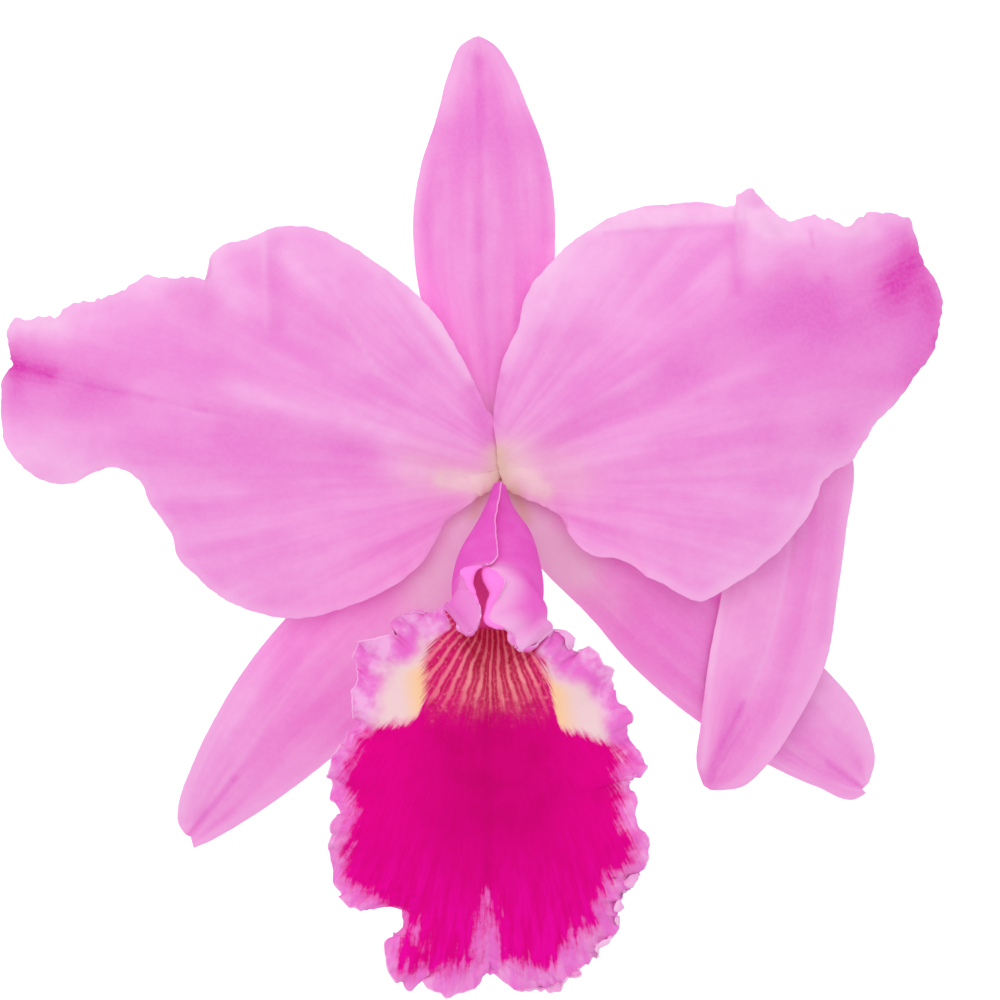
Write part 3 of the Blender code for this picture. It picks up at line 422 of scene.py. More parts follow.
CREAM = {
    "left_petal": [(-4.5, 4.8, 3.2, 4, 1.7, 0.9), (-9, 6.6, 3, 3.5, 4.5, 0.4)],
    "right_petal": [(7, 5.6, 12.5, 2.6, 1.7, 0.9), (8, 8, 17, 5, 5, 0.4), (8, 10, 10, 5, 2.5, 0.25)],
    "dorsal_sepal": [(4.6, 14, 4.6, 6, 4, 0.8)],
    "left_lateral_sepal": [
        (3, 1, -7, -15, 5, 0.75), (-4, 0, -13, -9, 4, 0.6), (-7, -13, -18, -24, 5, 0.2),
    ],
    "right_lateral_sepal": [(8, 1, 17, -10, 5, 0.9), (16, -9, 24, -16, 4, 0.3)],
    "extra_sepal": [(7, 6, 20, 9, 5, 0.6)],
}
# The tan of the flower's middle, over every blade that reaches there. Its second and third lines are
# painted shadow in that tan, beside the lip's tube.
TAN_AND_SHADOW = [(4.6, 8.8, 4.6, 4.4, 2.3, 1.0), (2.2, 2.8, 0.6, -1.4, 1, 0.6), (7.4, 3.6, 9.4, -1.6, 1.3, 0.8)]
# Where the petals' margins are toothed
TOOTHED = {
    "left_petal": [(-79, 32.5, -45, 39.5, 4, 1.0)],
    "right_petal": [(48, 51, 70, 49.5, 4, 1.0), (71, 51, 80, 30, 3, 0.5)],
}

# The lip's pattern as drawn, in millimetres: where its veins fan from, the throat's left and right
# borders by how low they are, the field's upper border by x, and the lines below which the cream patches
# lie
FAN_ROOT = np.array([4.25, -14.1])
THROAT_LOW = (18.0, 20.2, 21.2, 23.5, 26.2, 31.1, 34.5, 40.0)
THROAT_LEFT = (0.5, -1.0, -4.6, -6.7, -7.8, -7.6, -7.1, -7.0)
THROAT_RIGHT = (8.0, 9.0, 9.5, 10.6, 12.5, 13.5, 13.8, 14.8)
FIELD_TOP_X = (-22.0, -17.3, -9.0, -6.5, 13.2, 15.2, 22.4, 28.0)
FIELD_TOP_Y = (-41.2, -37.8, -36.2, -30.0, -30.0, -37.8, -39.8, -41.8)
FIELD_REACH = (-10, -68, -11, -77, 5, 0.9)
CREAM_LINES = (((-7.6, -20.2), (-18.6, -33.4)), ((13.6, -19.8), (25.4, -36.6)))
LIP_FOLDS = [(24.1, -62.9, 26.9, -66.5, 0.9, 1.0), (-20, -34.5, -19, -39.6, 0.8, 0.7)]


def shown(red, green, blue):
    """The shader's colour for one given as a screen shows it, from 0 to 255: the sRGB curve undone."""
    share = np.array([red, green, blue]) / 255
    linear = np.where(share <= 0.04045, share / 12.92, ((share + 0.055) / 1.055) ** 2.4)
    return (*map(float, linear), 1.0)


def colour(name, description, screen):
    return FloatVectorProperty(
        name=name, description=description, size=4, subtype="COLOR", min=0, max=1, default=shown(*screen)
    )


def length(name, description, millimetres):
    return FloatProperty(
        name=name, description=description, unit="LENGTH", min=0, precision=5, default=millimetres * MM
    )


class BloomSizes(bpy.types.PropertyGroup):
    """Thicknesses and the depth of what ruffles the blades."""

    rib_thickness: length("Rib thickness", "Thickness of sepals and petals along their middle line", 0.8)
    margin_thickness: length("Margin thickness", "Thickness of every blade at its margin", 0.3)
    lip_thickness: length("Lip thickness", "Thickness of the lip along its floor", 0.7)
    petal_swell: length("Petal swell", "Height of the soft bands that fan over a petal", 0.35)
    margin_crimp: length("Margin crimp", "Height of the small waves along a petal's margin", 0.25)
    lip_frill: length("Lip frill", "Height of the small waves along the lip's margin", 0.9)
    lip_teeth: length("Lip teeth", "Depth of the small lobes along the lip's margin", 0.35)


class BloomColours(bpy.types.PropertyGroup):
    """Colours of the living surfaces, as a screen shows them."""

    petal: colour("Petal", "Main colour of the petals", (242, 148, 222))
    petal_pale: colour("Petal, pale", "Colour of the petals' paler bands and margins", (247, 192, 234))
    petal_deep: colour("Petal, deep", "Colour of the petals' deeper bands and ribs", (229, 108, 202))
    flush: colour("Flush", "Colour of the petals' tips", (220, 48, 178))
    sepal: colour("Sepal", "Main colour of the sepals", (241, 143, 217))
    sepal_base: colour("Sepal base", "Colour of the sepals' bases", (232, 198, 214))
    cream: colour("Cream", "Colour of the blades' bases and the lip's patches", (240, 208, 210))
    tan: colour("Tan", "Colour of the flower's very middle", (220, 184, 160))
    lip_outside: colour("Lip, outside", "Colour of the lip's tube from outside", (230, 92, 196))
    lip_margin: colour("Lip margin", "Colour of the lip's ruffled margin", (238, 124, 212))
    rim: colour("Rim", "Colour of the lip's very edge", (255, 222, 244))
    field: colour("Field", "Colour of the lip's front lobe", (220, 0, 118))
    field_bright: colour("Field, bright", "Colour of the field's brighter streaks", (236, 6, 160))
    field_deep: colour("Field, deep", "Colour of the lip's front lobe along its middle", (166, 0, 40))
    throat: colour("Throat", "Colour between the veins of the lip's throat", (206, 54, 100))
    vein: colour("Vein", "Colour of the veins in the lip's throat", (246, 150, 158))
    yellow: colour("Yellow", "Colour beside the lip's throat", (250, 202, 150))
    column: colour("Column", "Colour of the column", (240, 226, 222))
    cap: colour("Cap", "Colour of the anther cap", (238, 226, 196))
    stalk: colour("Stalk", "Colour of the ovary and the stalk", (150, 170, 92))


class BloomStage(bpy.types.PropertyGroup):
    """The floor, the light and the camera."""

    floor: colour("Floor", "Colour of the floor", (198, 198, 198))
    sky: FloatProperty(name="Sky", description="Strength of the light from all round", min=0, default=0.76)
    key: FloatProperty(
        name="Key", description="Power of the large lamp", subtype="POWER", min=0, default=1.95
    )
    lens: FloatProperty(name="Lens", description="Focal length", unit="CAMERA", min=1, default=180)
    floor_glow: FloatProperty(
        name="Floor glow", description="Light of the floor itself", min=0, default=1.4
    )


def smooth_step(x):
    """0 below 0 and 1 above 1, with a level start and end between."""
    x = np.clip(x, 0, 1)
    return x * x * (3 - 2 * x)


def wander(x, seed):
    """Smooth random numbers from -1 to 1: one is drawn at each whole number of x, and smooth steps
    join them."""
    drawn = np.random.default_rng(seed).uniform(-1, 1, 509)
    whole = np.floor(x).astype(int)
    share = smooth_step(x - whole)
    return drawn[whole % 509] * (1 - share) + drawn[(whole + 1) % 509] * share


def ripple(run, rim, wave, seed):
    """Smooth random waves along a margin, given as (length, reach): they fade with the distance to it
    as the exponential of minus that distance over the reach."""
    length, reach = wave
    return wander(run / length, seed) * np.exp(-rim / reach)


def chord_shares(points, pins=None):
    """Each point's share of the length of the line through them, stretched so that pinned points get
    theirs."""
    steps = np.linalg.norm(np.diff(points, axis=0), axis=1)
    shares = np.concatenate([[0], np.cumsum(steps)]) / steps.sum()
    if pins:
        at, given = zip(*pins)
        shares = np.interp(shares, shares[list(at)], given)
    return shares


def along(points, t, shares=None):
    """A smooth curve through the points, read at the shares t: on each stretch the cubic whose slope at
    either end is the mean of the straight slopes beside that point, the shorter one counting more."""
    points = np.asarray(points, float)
    shares = np.asarray(chord_shares(points) if shares is None else shares, float)
    steps = np.diff(shares)[:, None]
    slopes = np.diff(points, axis=0) / steps
    inner = (steps[1:] * slopes[:-1] + steps[:-1] * slopes[1:]) / (steps[1:] + steps[:-1])
    slopes = np.concatenate([slopes[:1], inner, slopes[-1:]])
    i = np.clip(np.searchsorted(shares, t, side="right") - 1, 0, len(steps) - 1)
    h = steps[i]
    u = (t[:, None] - shares[i, None]) / h
    start = (2 * u**3 - 3 * u**2 + 1) * points[i] + (u**3 - 2 * u**2 + u) * h * slopes[i]
    end = (3 * u**2 - 2 * u**3) * points[i + 1] + (u**3 - u**2) * h * slopes[i + 1]
    return start + end


def settled(curve, share):
    """The curve with its fine waves levelled: each point is the mean of those within a share of the
    rows, twice over. The curve goes on past either end as itself turned half round about that end."""
    reach = max(1, round(share * (len(curve) - 1)))
    width = 2 * reach + 1
    for _ in range(2):
        before = 2 * curve[0] - curve[reach:0:-1]
        after = 2 * curve[-1] - curve[-2 : -reach - 2 : -1]
        total = np.cumsum(np.concatenate([np.zeros((1, 3)), before, curve, after]), axis=0)
        curve = (total[width:] - total[:-width]) / width
    return curve


def in_place(points):
    """Points drawn as seen from above, moved to where they lie: each comes nearer to the axis of view, or
    goes further from it, by its height over the drawing's level as a share of the view's height."""
    points = np.array(points, float)
    share = (points[..., 2:] - VIEW_LEVEL) / VIEW_HEIGHT
    points[..., :2] = VIEW_AXIS + (points[..., :2] - VIEW_AXIS) * (1 - share)
    return points


def across(columns):
    """Shares of the way from the middle line to a margin, closer together towards the margin."""
    return np.sin(np.linspace(0, math.pi / 2, columns + 1))


def blade(middle, one_side, other_side, grid, crown, calm_share):
    """A sepal or petal as drawn: from each point of the middle line straight out to both margins,
    raised between the two by crown millimetres and rounded along the middle. The margins' fine waves
    fade inwards with the fourth power of the way out."""
    rows, columns = grid
    t = 1 - np.linspace(1, 0, rows) ** 1.3
    s = across(columns)[:, None]
    soft = (np.hypot(s, RIB_SOFTNESS) - RIB_SOFTNESS) / (math.hypot(1, RIB_SOFTNESS) - RIB_SOFTNESS)
    line = along(middle, t)[:, None]
    sides = []
    for outline in (one_side, other_side):
        margin = along(outline, t)
        calm = settled(margin, calm_share)
        rise = (calm[:, None] - line)[..., 2] * (soft - s)[:, 0]
        half = line + s * (calm[:, None] - line) + s**4 * (margin - calm)[:, None]
        half[..., 2] += rise + 4 * crown * np.sin(math.pi * t)[:, None] * (s * (1 - s))[:, 0]
        sides.append(half)
    return np.concatenate([sides[0][:, :0:-1], sides[1]], axis=1)


def lip_blade(grid):
    """The lip as drawn: from its floor each half goes out and round to the margin as half a ring where
    it is a tube, and straight out where it is the open front lobe, mixed by the share of tube. Where
    the margin is rolled, the last part goes back over the rest. With it comes how far each point is
    inside the roll's fold."""
    rows, columns = grid
    t = np.linspace(0, 1, rows)
    floor = along(LIP_MID, t, LIP_MID_SHARES)[:, None]
    swing = np.array(LIP_SWING)
    swing = along(swing[:, 1:], t, swing[:, 0])[:, None]
    stations, *rolls = np.array(LIP_ROLLS).T
    start, end = LIP_TUBE_ENDS
    tube = (1 - smooth_step((t - start) / (end - start)))[:, None, None]
    crown = LIP_CROWN * smooth_step((t - end) / (LIP_FULL_FROM - end)) * (1 - t**4)
    droop = LIP_DROOP * smooth_step((t - start) / (LIP_FULL_FROM - start)) * (1 - t**6)
    sides, insides = [], []
    for outline, pins, way, roll in (
        (LIP_LEFT, LIP_LEFT_PINS, (0, 1), rolls[0]), (LIP_RIGHT, LIP_RIGHT_PINS, (2, 3), rolls[1])
    ):
        roll = np.interp(t, stations, roll)[:, None, None]
        fold = 1 - ROLL_WIDTH * smooth_step(roll / 1.5)
        s = across(columns)[None, :, None]
        turned = np.clip((s - fold) / np.maximum(1 - fold, 0.01), 0, 1)
        insides.append((fold - s)[..., 0])
        s = np.minimum(s / fold, 1)
        margin = along(outline, t, chord_shares(np.array(outline), pins))
        calm = settled(margin, LIP_CALM)
        reach = tube * (3 * s**2 - 2 * s**3) + (1 - tube) * s
        fade = tube * s**4 + (1 - tube) * s**LIP_WAVE_FADE
        half = floor + reach * (calm[:, None] - floor) + fade * (margin - calm)[:, None]
        half[..., :2] += 4 * swing[..., way] * (s * (1 - s))
        half[..., 2] += 4 * crown[:, None] * (s * (1 - s))[..., 0] - droop[:, None] * s[..., 0] ** 2
        back = half[:, columns // 2, None] - half[:, -1:]
        back /= np.linalg.norm(back, axis=-1, keepdims=True)
        half += back * roll * turned**1.3
        half[..., 2] += (0.55 * roll * np.sin(0.8 * math.pi * turned))[..., 0]
        sides.append(half)
    drawn = np.concatenate([sides[0][:, :0:-1], sides[1]], axis=1)
    return drawn, np.concatenate([insides[0][:, :0:-1], insides[1]], axis=1)


def normals(surface):
    """Unit vectors square to a grid of points: the cross product of its slopes along both ways, all
    turned so that most of them look up, out of the flower's face."""
    normal = np.cross(np.gradient(surface, axis=1), np.gradient(surface, axis=0))
    normal *= np.sign(normal[..., 2].sum())
    return normal / np.maximum(np.linalg.norm(normal, axis=-1, keepdims=True), 1e-9)


def margin_distance(surface):
    """Each point's distance to the nearest point of both long margins, in millimetres."""
    margin = np.concatenate([surface[:, 0], surface[:, -1]])
    near = [np.sqrt(((row[:, None] - margin) ** 2).sum(-1).min(1)) for row in surface]
    return np.array(near)


def margin_run(surface):
    """How far along its own half's margin each row is, in millimetres. The far half counts on from
    1000."""
    halves = []
    for column, offset in ((0, 0), (-1, 1000)):
        steps = np.linalg.norm(np.diff(surface[:, column], axis=0), axis=1)
        halves.append(np.concatenate([[0], np.cumsum(steps)]) + offset)
    columns = surface.shape[1]
    one = np.repeat(halves[0][:, None], columns // 2, axis=1)
    other = np.repeat(halves[1][:, None], columns - columns // 2, axis=1)
    return np.concatenate([one, other], axis=1)


def outwards(surface):
    """Unit vectors across a blade, from its middle line towards the margins."""
    middle = surface.shape[1] // 2
    way = np.gradient(surface, axis=1)
    way[:, :middle] *= -1
    return way / np.maximum(np.linalg.norm(way, axis=-1, keepdims=True), 1e-9)


def strokes(drawn, lines):
    """The sum of soft lines over what is drawn. Each is (start x, start y, end x, end y, half-width,
    amount): a bell curve across the straight line and round its ends."""
    total = np.zeros(drawn.shape[:2])
    for x0, y0, x1, y1, width, amount in lines:
        run = np.array([x1 - x0, y1 - y0])
        share = np.clip((drawn[..., :2] - (x0, y0)) @ run / (run @ run), 0, 1)
        offset = drawn[..., :2] - (x0, y0) - share[..., None] * run
        total += amount * np.exp(-((offset**2).sum(-1) / width**2))
    return total


def strip(a, b):
    """Quads between each pair of neighbours on two lines of equally many vertices."""
    return np.stack([a[:-1], a[1:], b[1:], b[:-1]], -1)


def plate(surface, half, fields):
    """A closed blade: a front and a back half a thickness to either side of the surface along its
    normals, and a rounded rim, whose points lie on half a circle round the surface's border. Fields
    hold a value for each point of the grid, and come back with a value for each vertex, with one more
    that says which face it is on."""
    rows, columns = surface.shape[:2]
    count = rows * columns
    normal = normals(surface)
    index = np.arange(count).reshape(rows, columns)
    border = np.concatenate([index[0, :-1], index[:-1, -1], index[-1, :0:-1], index[:0:-1, 0]])
    inner = np.concatenate([index[1, :-1], index[:-1, -2], index[-2, :0:-1], index[:0:-1, 1]])
    flat, bump = surface.reshape(-1, 3), normal.reshape(-1, 3)
    thick = half.reshape(-1, 1)
    outwards = flat[border] - flat[inner]
    outwards -= (outwards * bump[border]).sum(1, keepdims=True) * bump[border]
    outwards /= np.maximum(np.linalg.norm(outwards, axis=1, keepdims=True), 1e-9)
    loops = [
        flat[border] + thick[border] * (math.cos(turn) * outwards + math.sin(turn) * bump[border])
        for turn in (math.pi / 4, 0, -math.pi / 4)
    ]
    points = np.concatenate([flat + thick * bump, flat - thick * bump, *loops])
    ring = np.append(border, border[0])
    place = np.append(np.arange(len(border)), 0)
    levels = [ring] + [2 * count + k * len(border) + place for k in range(3)] + [ring + count]
    cells = np.stack([index[:-1, :-1], index[:-1, 1:], index[1:, 1:], index[1:, :-1]], -1).reshape(-1, 4)
    walls = [strip(a, b)[:, ::-1] for a, b in zip(levels, levels[1:])]
    faces = np.concatenate([cells, cells[:, ::-1] + count, *walls])
    source = np.concatenate([np.arange(count), np.arange(count), np.tile(border, 3)])
    fields = {name: values.reshape(count, -1)[source] for name, values in fields.items()}
    front = np.concatenate([np.ones(count), np.zeros(count), np.full(3 * len(border), 0.5)])
    fields["front"] = front[:, None]
    return points, faces, fields


def swept(path, sides, wide, deep):
    """A closed bar along a path that lies in a plane across X: ellipses of half-widths wide along X
    and deep across it, whose rings stand square to the path and close to a point at both ends."""
    run = np.gradient(path, axis=0)
    run /= np.linalg.norm(run, axis=1, keepdims=True)
    side = np.array([1.0, 0, 0])
    up = np.cross(run, side)
    angle = np.linspace(0, 2 * math.pi, sides, endpoint=False)
    sideways = wide[..., None] * np.cos(angle)[:, None] * side
    upwards = deep[..., None] * np.sin(angle)[:, None] * up[:, None]
    rings = (path[:, None] + sideways + upwards).reshape(-1, 3)
    index = np.arange(len(rings)).reshape(len(path), sides)
    index = np.concatenate([index, index[:, :1]], axis=1)
    walls = np.concatenate([strip(index[i], index[i + 1]) for i in range(len(path) - 1)])
    first, last = len(rings), len(rings) + 1
    caps = [(index[0, j + 1], index[0, j], first) for j in range(sides)]
    caps += [(index[-1, j], index[-1, j + 1], last) for j in range(sides)]
    return np.concatenate([rings, path[:1], path[-1:]]), walls, caps


def outward(points, faces):
    """Faces turned so that the closed surface they make holds a positive volume."""
    corners = points[faces]
    volume = np.einsum("ij,ij->", corners[:, 0], np.cross(corners[:, 1], corners[:, 2]))
    if faces.shape[1] == 4:
        volume += np.einsum("ij,ij->", corners[:, 0], np.cross(corners[:, 2], corners[:, 3]))
    return faces[:, ::-1] if volume < 0 else faces


def put_mesh(name, points, faces, fields=None, uv=None):
    """An object at the origin from vertices in millimetres, with its fields as attributes."""
    mesh = bpy.data.meshes.new(name)
    mesh.from_pydata((points * MM).tolist(), [], faces)
    for field, values in (fields or {}).items():
        kind = {1: "FLOAT", 3: "FLOAT_VECTOR"}[values.shape[1]]
        attribute = mesh.attributes.new(field, kind, "POINT")
        key = "value" if kind == "FLOAT" else "vector"
        attribute.data.foreach_set(key, np.ascontiguousarray(values, np.float32).ravel())
    if uv is not None:
        corner = np.empty(len(mesh.loops), np.int32)
        mesh.loops.foreach_get("vertex_index", corner)
        layer = mesh.uv_layers.new(name="fan")
        layer.data.foreach_set("uv", np.ascontiguousarray(uv[corner], np.float32).ravel())
    mesh.shade_smooth()
    mesh.validate()
    if not mesh.polygons:
        raise RuntimeError(f"The mesh of {name} came out without faces")
    item = bpy.data.objects.new(name, mesh)
    bpy.context.scene.collection.objects.link(item)
    return item


def dress(item, node, material):
    """The piece gets its material, joins the model's first body and takes the place of its CAD node, which
    is hidden.
    """
    item.data.materials.append(material)
    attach(item, BODY)
    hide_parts(node)


class Wiring:
    """The nodes of one new material, made and joined by short calls that take sockets and plain values
    alike."""

    def __init__(self, name):
        self.material = bpy.data.materials.new(name)
        self.material.use_nodes = True
        self.tree = self.material.node_tree
        self.shader = self.tree.nodes["Principled BSDF"]

    def feed(self, socket, value):
        if isinstance(value, bpy.types.NodeSocket):
            self.tree.links.new(value, socket)
        else:
            socket.default_value = value

    def put(self, kind, inputs=None, out=0, **settings):
        node = self.tree.nodes.new("ShaderNode" + kind)
        for key, value in settings.items():
            setattr(node, key, value)
        for socket, value in (inputs or {}).items():
            self.feed(node.inputs[socket], value)
        return node.outputs[out]

    def fields(self, *names):
        """The numbers of the mesh's attributes of these names."""
        return [self.put("Attribute", out="Fac", attribute_name=name) for name in names]

    def math(self, operation, a, b=0.0):
        return self.put("Math", {0: a, 1: b}, operation=operation)

    def times(self, a, b):
        return self.math("MULTIPLY", a, b)

    def plus(self, a, b):
        return self.math("ADD", a, b)

    def at_most(self, value, limit):
        return self.math("MINIMUM", value, limit)

    def ruffled(self, value, noise, amount):
        """The value moved up and down by a noise from 0 to 1, by half the amount either way."""
        return self.plus(value, self.times(self.math("SUBTRACT", noise, 0.5), amount))

    def between(self, value, low, high, to_low=0.0, to_high=1.0):
        """A smooth step of the value from low to high, given between to_low and to_high."""
        inputs = {"Value": value, "From Min": low, "From Max": high, "To Min": to_low, "To Max": to_high}
        return self.put("MapRange", inputs, interpolation_type="SMOOTHSTEP")

    def mix(self, share, a, b):
        return self.put("Mix", {0: share, 6: a, 7: b}, out=2, data_type="RGBA")

    def stretched(self, vector, x, y, z=1.0):
        return self.put("Mapping", {"Vector": vector, "Scale": (x, y, z)})

    def noise(self, vector, scale, detail=2.0, roughness=0.5):
        inputs = {"Vector": vector, "Scale": scale, "Detail": detail, "Roughness": roughness}
        return self.put("TexNoise", inputs)

    def coat(self, **inputs):
        """Plain values or sockets for the shader's own inputs, with _ for a space."""
        for socket, value in inputs.items():
            self.feed(self.shader.inputs[socket.replace("_", " ")], value)

    def bump(self, height, strength, distance):
        inputs = {"Height": height, "Strength": strength, "Distance": distance * MM}
        self.feed(self.shader.inputs["Normal"], self.put("Bump", inputs))


def living(wiring, colour_socket, roughness, sheen=0.08, gloss=0.25):
    """What every soft surface here shares: a colour, a dull gloss and a faint powdery sheen."""
    wiring.coat(Base_Color=colour_socket, Roughness=roughness)
    wiring.coat(Specular_IOR_Level=gloss, Sheen_Weight=sheen, Sheen_Roughness=0.5)
    wiring.coat(Sheen_Tint=(1.0, 0.8, 0.95, 1.0))


def blade_material(name, colours, main, base):
    """Sepals and petals: clouds, soft bands and fine veins that follow the fan coordinates, then the
    painted marks: pale, deep, flushed, cream and tan. The pale and deep marks are partly the blades'
    own tone and partly painted highlight and shade on ribs, folds and creases, with a painted shadow,
    and the tan holds painted shadow beside the lip's tube."""
    w = Wiring(name)
    fan = w.put("UVMap", uv_map="fan")
    own = w.put("TexCoord", out="Object")
    rim, pale, deep, flush, cream, tan = w.fields("rim", "pale", "deep", "flush", "cream", "tan")
    bands = w.noise(w.stretched(fan, 9, 1.1), 1.0, 2.0)
    clouds = w.noise(own, 75, 3.0, 0.6)
    spots = w.noise(own, 420, 2.0, 0.6)
    grain = w.noise(own, 1500, 1.0)
    tone = w.plus(w.times(bands, 0.7), w.times(clouds, 0.3))
    skin = w.mix(w.between(tone, 0.36, 0.64), colours.petal_deep, colours.petal_pale)
    skin = w.mix(0.7, skin, main)
    veins = w.noise(w.stretched(fan, 110, 3), 1.0, 1.0)
    skin = w.mix(w.between(veins, 0.5, 0.7, 0, 0.08), skin, colours.petal_deep)
    # Paler marks and the paler margin, with painted highlight on folds, creases and the left petal's rib.
    pale_and_lit_share = w.times(pale, w.between(clouds, 0.35, 0.6, 0.6, 0.9))
    pale_and_lit_share = w.plus(pale_and_lit_share, w.between(w.plus(rim, w.times(spots, 1.6)), 0.9, 3.4, 0.4, 0.0))
    skin = w.mix(w.at_most(pale_and_lit_share, 0.95), skin, colours.petal_pale)
    # Deeper marks, with painted shade along ribs, beside folds and creases, and a painted shadow.
    deep_and_shaded_share = w.times(deep, w.between(clouds, 0.3, 0.6, 1.0, 0.75))
    skin = w.mix(w.at_most(deep_and_shaded_share, 0.95), skin, colours.petal_deep)
    streaky = w.times(flush, w.between(veins, 0.35, 0.62, 0.8, 0.95))
    skin = w.mix(w.at_most(streaky, 0.95), skin, colours.flush)
    skin = w.mix(w.at_most(cream, 0.92), skin, base)
    # The middle's tan, with painted shadow in tan beside the lip's tube.
    skin = w.mix(w.at_most(tan, 0.9), skin, colours.tan)
    skin = w.mix(w.between(grain, 0.35, 0.65, 0.0, 0.07), skin, colours.petal_pale)
    skin = w.mix(w.between(spots, 0.35, 0.62, 0.08, 0.0), skin, colours.petal_deep)
    living(w, skin, w.between(grain, 0.3, 0.7, 0.46, 0.6))
    w.bump(w.plus(grain, w.times(veins, 0.5)), 0.3, 0.05)
    return w.material


def lip_material(colours):
    """The lip: pink outside and along the margin, a magenta field with a feathered border, cream
    patches with a yellow edge beside the throat, and salmon veins that fan over the crimson throat."""
    w = Wiring("lip_skin")
    fan = w.put("UVMap", uv_map="fan")
    own = w.put("TexCoord", out="Object")
    front, rim, field, throat, cream, warm = w.fields("front", "rim", "field", "throat", "cream", "warm")
    low, line, side, flap, glow = w.fields("low", "line", "side", "flap", "glow")
    streaks = w.noise(w.stretched(fan, 34, 0.9), 1.0, 3.0, 0.6)
    fine = w.noise(w.stretched(fan, 110, 2.4), 1.0, 3.0, 0.6)
    grain = w.noise(own, 1500, 2.0)
    fuzz = w.noise(own, 620, 3.0, 0.65)
    soft = w.noise(own, 200, 3.0, 0.6)
    height = w.put("SeparateXYZ", {0: own}, out=1)
    streaky = w.mix(w.between(height, -0.055, -0.04), streaks, soft)
    margin = w.mix(w.between(streaky, 0.35, 0.68, 0.0, 0.7), colours.lip_margin, colours.petal_pale)
    margin = w.mix(w.between(soft, 0.4, 0.65, 0.4, 0.0), margin, colours.lip_outside)
    margin = w.mix(w.between(glow, 0.0, 0.15), margin, colours.lip_margin)
    patch = w.ruffled(cream, soft, 5.0)
    skin = w.mix(w.between(patch, -2.6, 2.4, 0, 0.96), margin, colours.cream)
    reach = w.between(height, -0.072, -0.056, 10.0, 5.5)
    feather = w.ruffled(field, streaks, reach)
    feather = w.ruffled(feather, fine, 4.0)
    feather = w.ruffled(feather, fuzz, 3.5)
    bright = w.times(w.between(streaks, 0.38, 0.64), w.between(height, -0.072, -0.05, 1.0, 0.12))
    magenta = w.mix(bright, colours.field, colours.field_bright)
    magenta = w.mix(w.between(fine, 0.45, 0.7, 0, 0.3), magenta, colours.field_deep)
    magenta = w.mix(w.times(warm, w.between(soft, 0.35, 0.6, 0.85, 0.6)), magenta, colours.field_deep)
    magenta = w.mix(w.times(line, 0.45), magenta, colours.field_deep)
    yellow = w.times(w.between(throat, -5.0, -0.5), w.between(low, 0.05, 0.4))
    yellow = w.times(yellow, w.between(cream, 0.5, 3.5))
    skin = w.mix(w.times(yellow, 0.9), skin, colours.yellow)
    skin = w.mix(w.between(feather, -1.2, 1.2), skin, magenta)
    skin = w.mix(w.between(feather, -2.8, -0.4, 0.0, 0.35), skin, colours.field_bright)
    # The veins are waves over the angle round the fan's root, bent by noise, with finer ones between
    # lower down
    turn = w.put("SeparateXYZ", {0: fan}, out=0)
    bent = w.ruffled(turn, soft, 0.09)
    bent = w.ruffled(bent, fuzz, 0.02)
    wave = w.math("PINGPONG", w.times(bent, 8.4), 0.5)
    branch = w.math("PINGPONG", w.times(w.plus(bent, 0.03), 16.8), 0.5)
    vein = w.between(w.plus(wave, w.times(grain, 0.12)), 0.28, 0.5)
    branch = w.times(w.between(branch, 0.3, 0.5), w.between(low, 0.1, 0.6, 0.0, 0.45))
    vein = w.math("MAXIMUM", vein, branch)
    # Painted light: at the tube's mouth, where glow is set, the veins fade and the crimson pales towards
    # the outside's pink.
    vein = w.times(vein, w.between(glow, 0.0, 0.1, 1.0, 0.15))
    foot = w.plus(low, w.times(w.plus(fuzz, w.times(streaks, 1.4)), 0.4))
    vein = w.times(vein, w.between(foot, 0.9, 1.5, 0.95, 0.0))
    crimson = w.mix(w.times(side, 0.6), colours.throat, colours.field)
    crimson = w.mix(w.between(fuzz, 0.4, 0.65, 0, 0.4), crimson, colours.field_deep)
    crimson = w.mix(w.between(grain, 0.55, 0.75, 0, 0.35), crimson, colours.vein)
    crimson = w.mix(vein, crimson, w.mix(w.times(side, 0.4), colours.vein, colours.field))
    crimson = w.mix(w.between(glow, 0.0, 0.2, 0.0, 0.6), crimson, colours.lip_outside)
    edge = w.ruffled(throat, fine, 5.0)
    inside = w.times(w.between(edge, -1.0, 0.8), w.between(foot, 1.1, 1.6, 1.0, 0.0))
    skin = w.mix(inside, skin, crimson)
    pale = w.times(flap, w.between(w.plus(rim, w.times(soft, 4.0)), 2.0, 8.5, 0.75, 0.0))
    outer = w.mix(w.between(soft, 0.4, 0.65, 0, 0.3), colours.lip_outside, colours.lip_margin)
    outer = w.mix(pale, outer, colours.petal_pale)
    skin = w.mix(w.between(front, 0.4, 0.6), outer, skin)
    skin = w.mix(w.between(rim, 0.0, 0.12, 0.36, 0.0), skin, colours.rim)
    living(w, skin, w.between(grain, 0.3, 0.7, 0.6, 0.75), 0.0, 0.02)
    # Painted light: the skin at the tube's mouth gives off light, as much as the glow field says.
    w.coat(Emission_Color=skin, Emission_Strength=w.times(glow, front))
    w.bump(w.plus(w.times(grain, 0.5), fine), 0.3, 0.05)
    return w.material


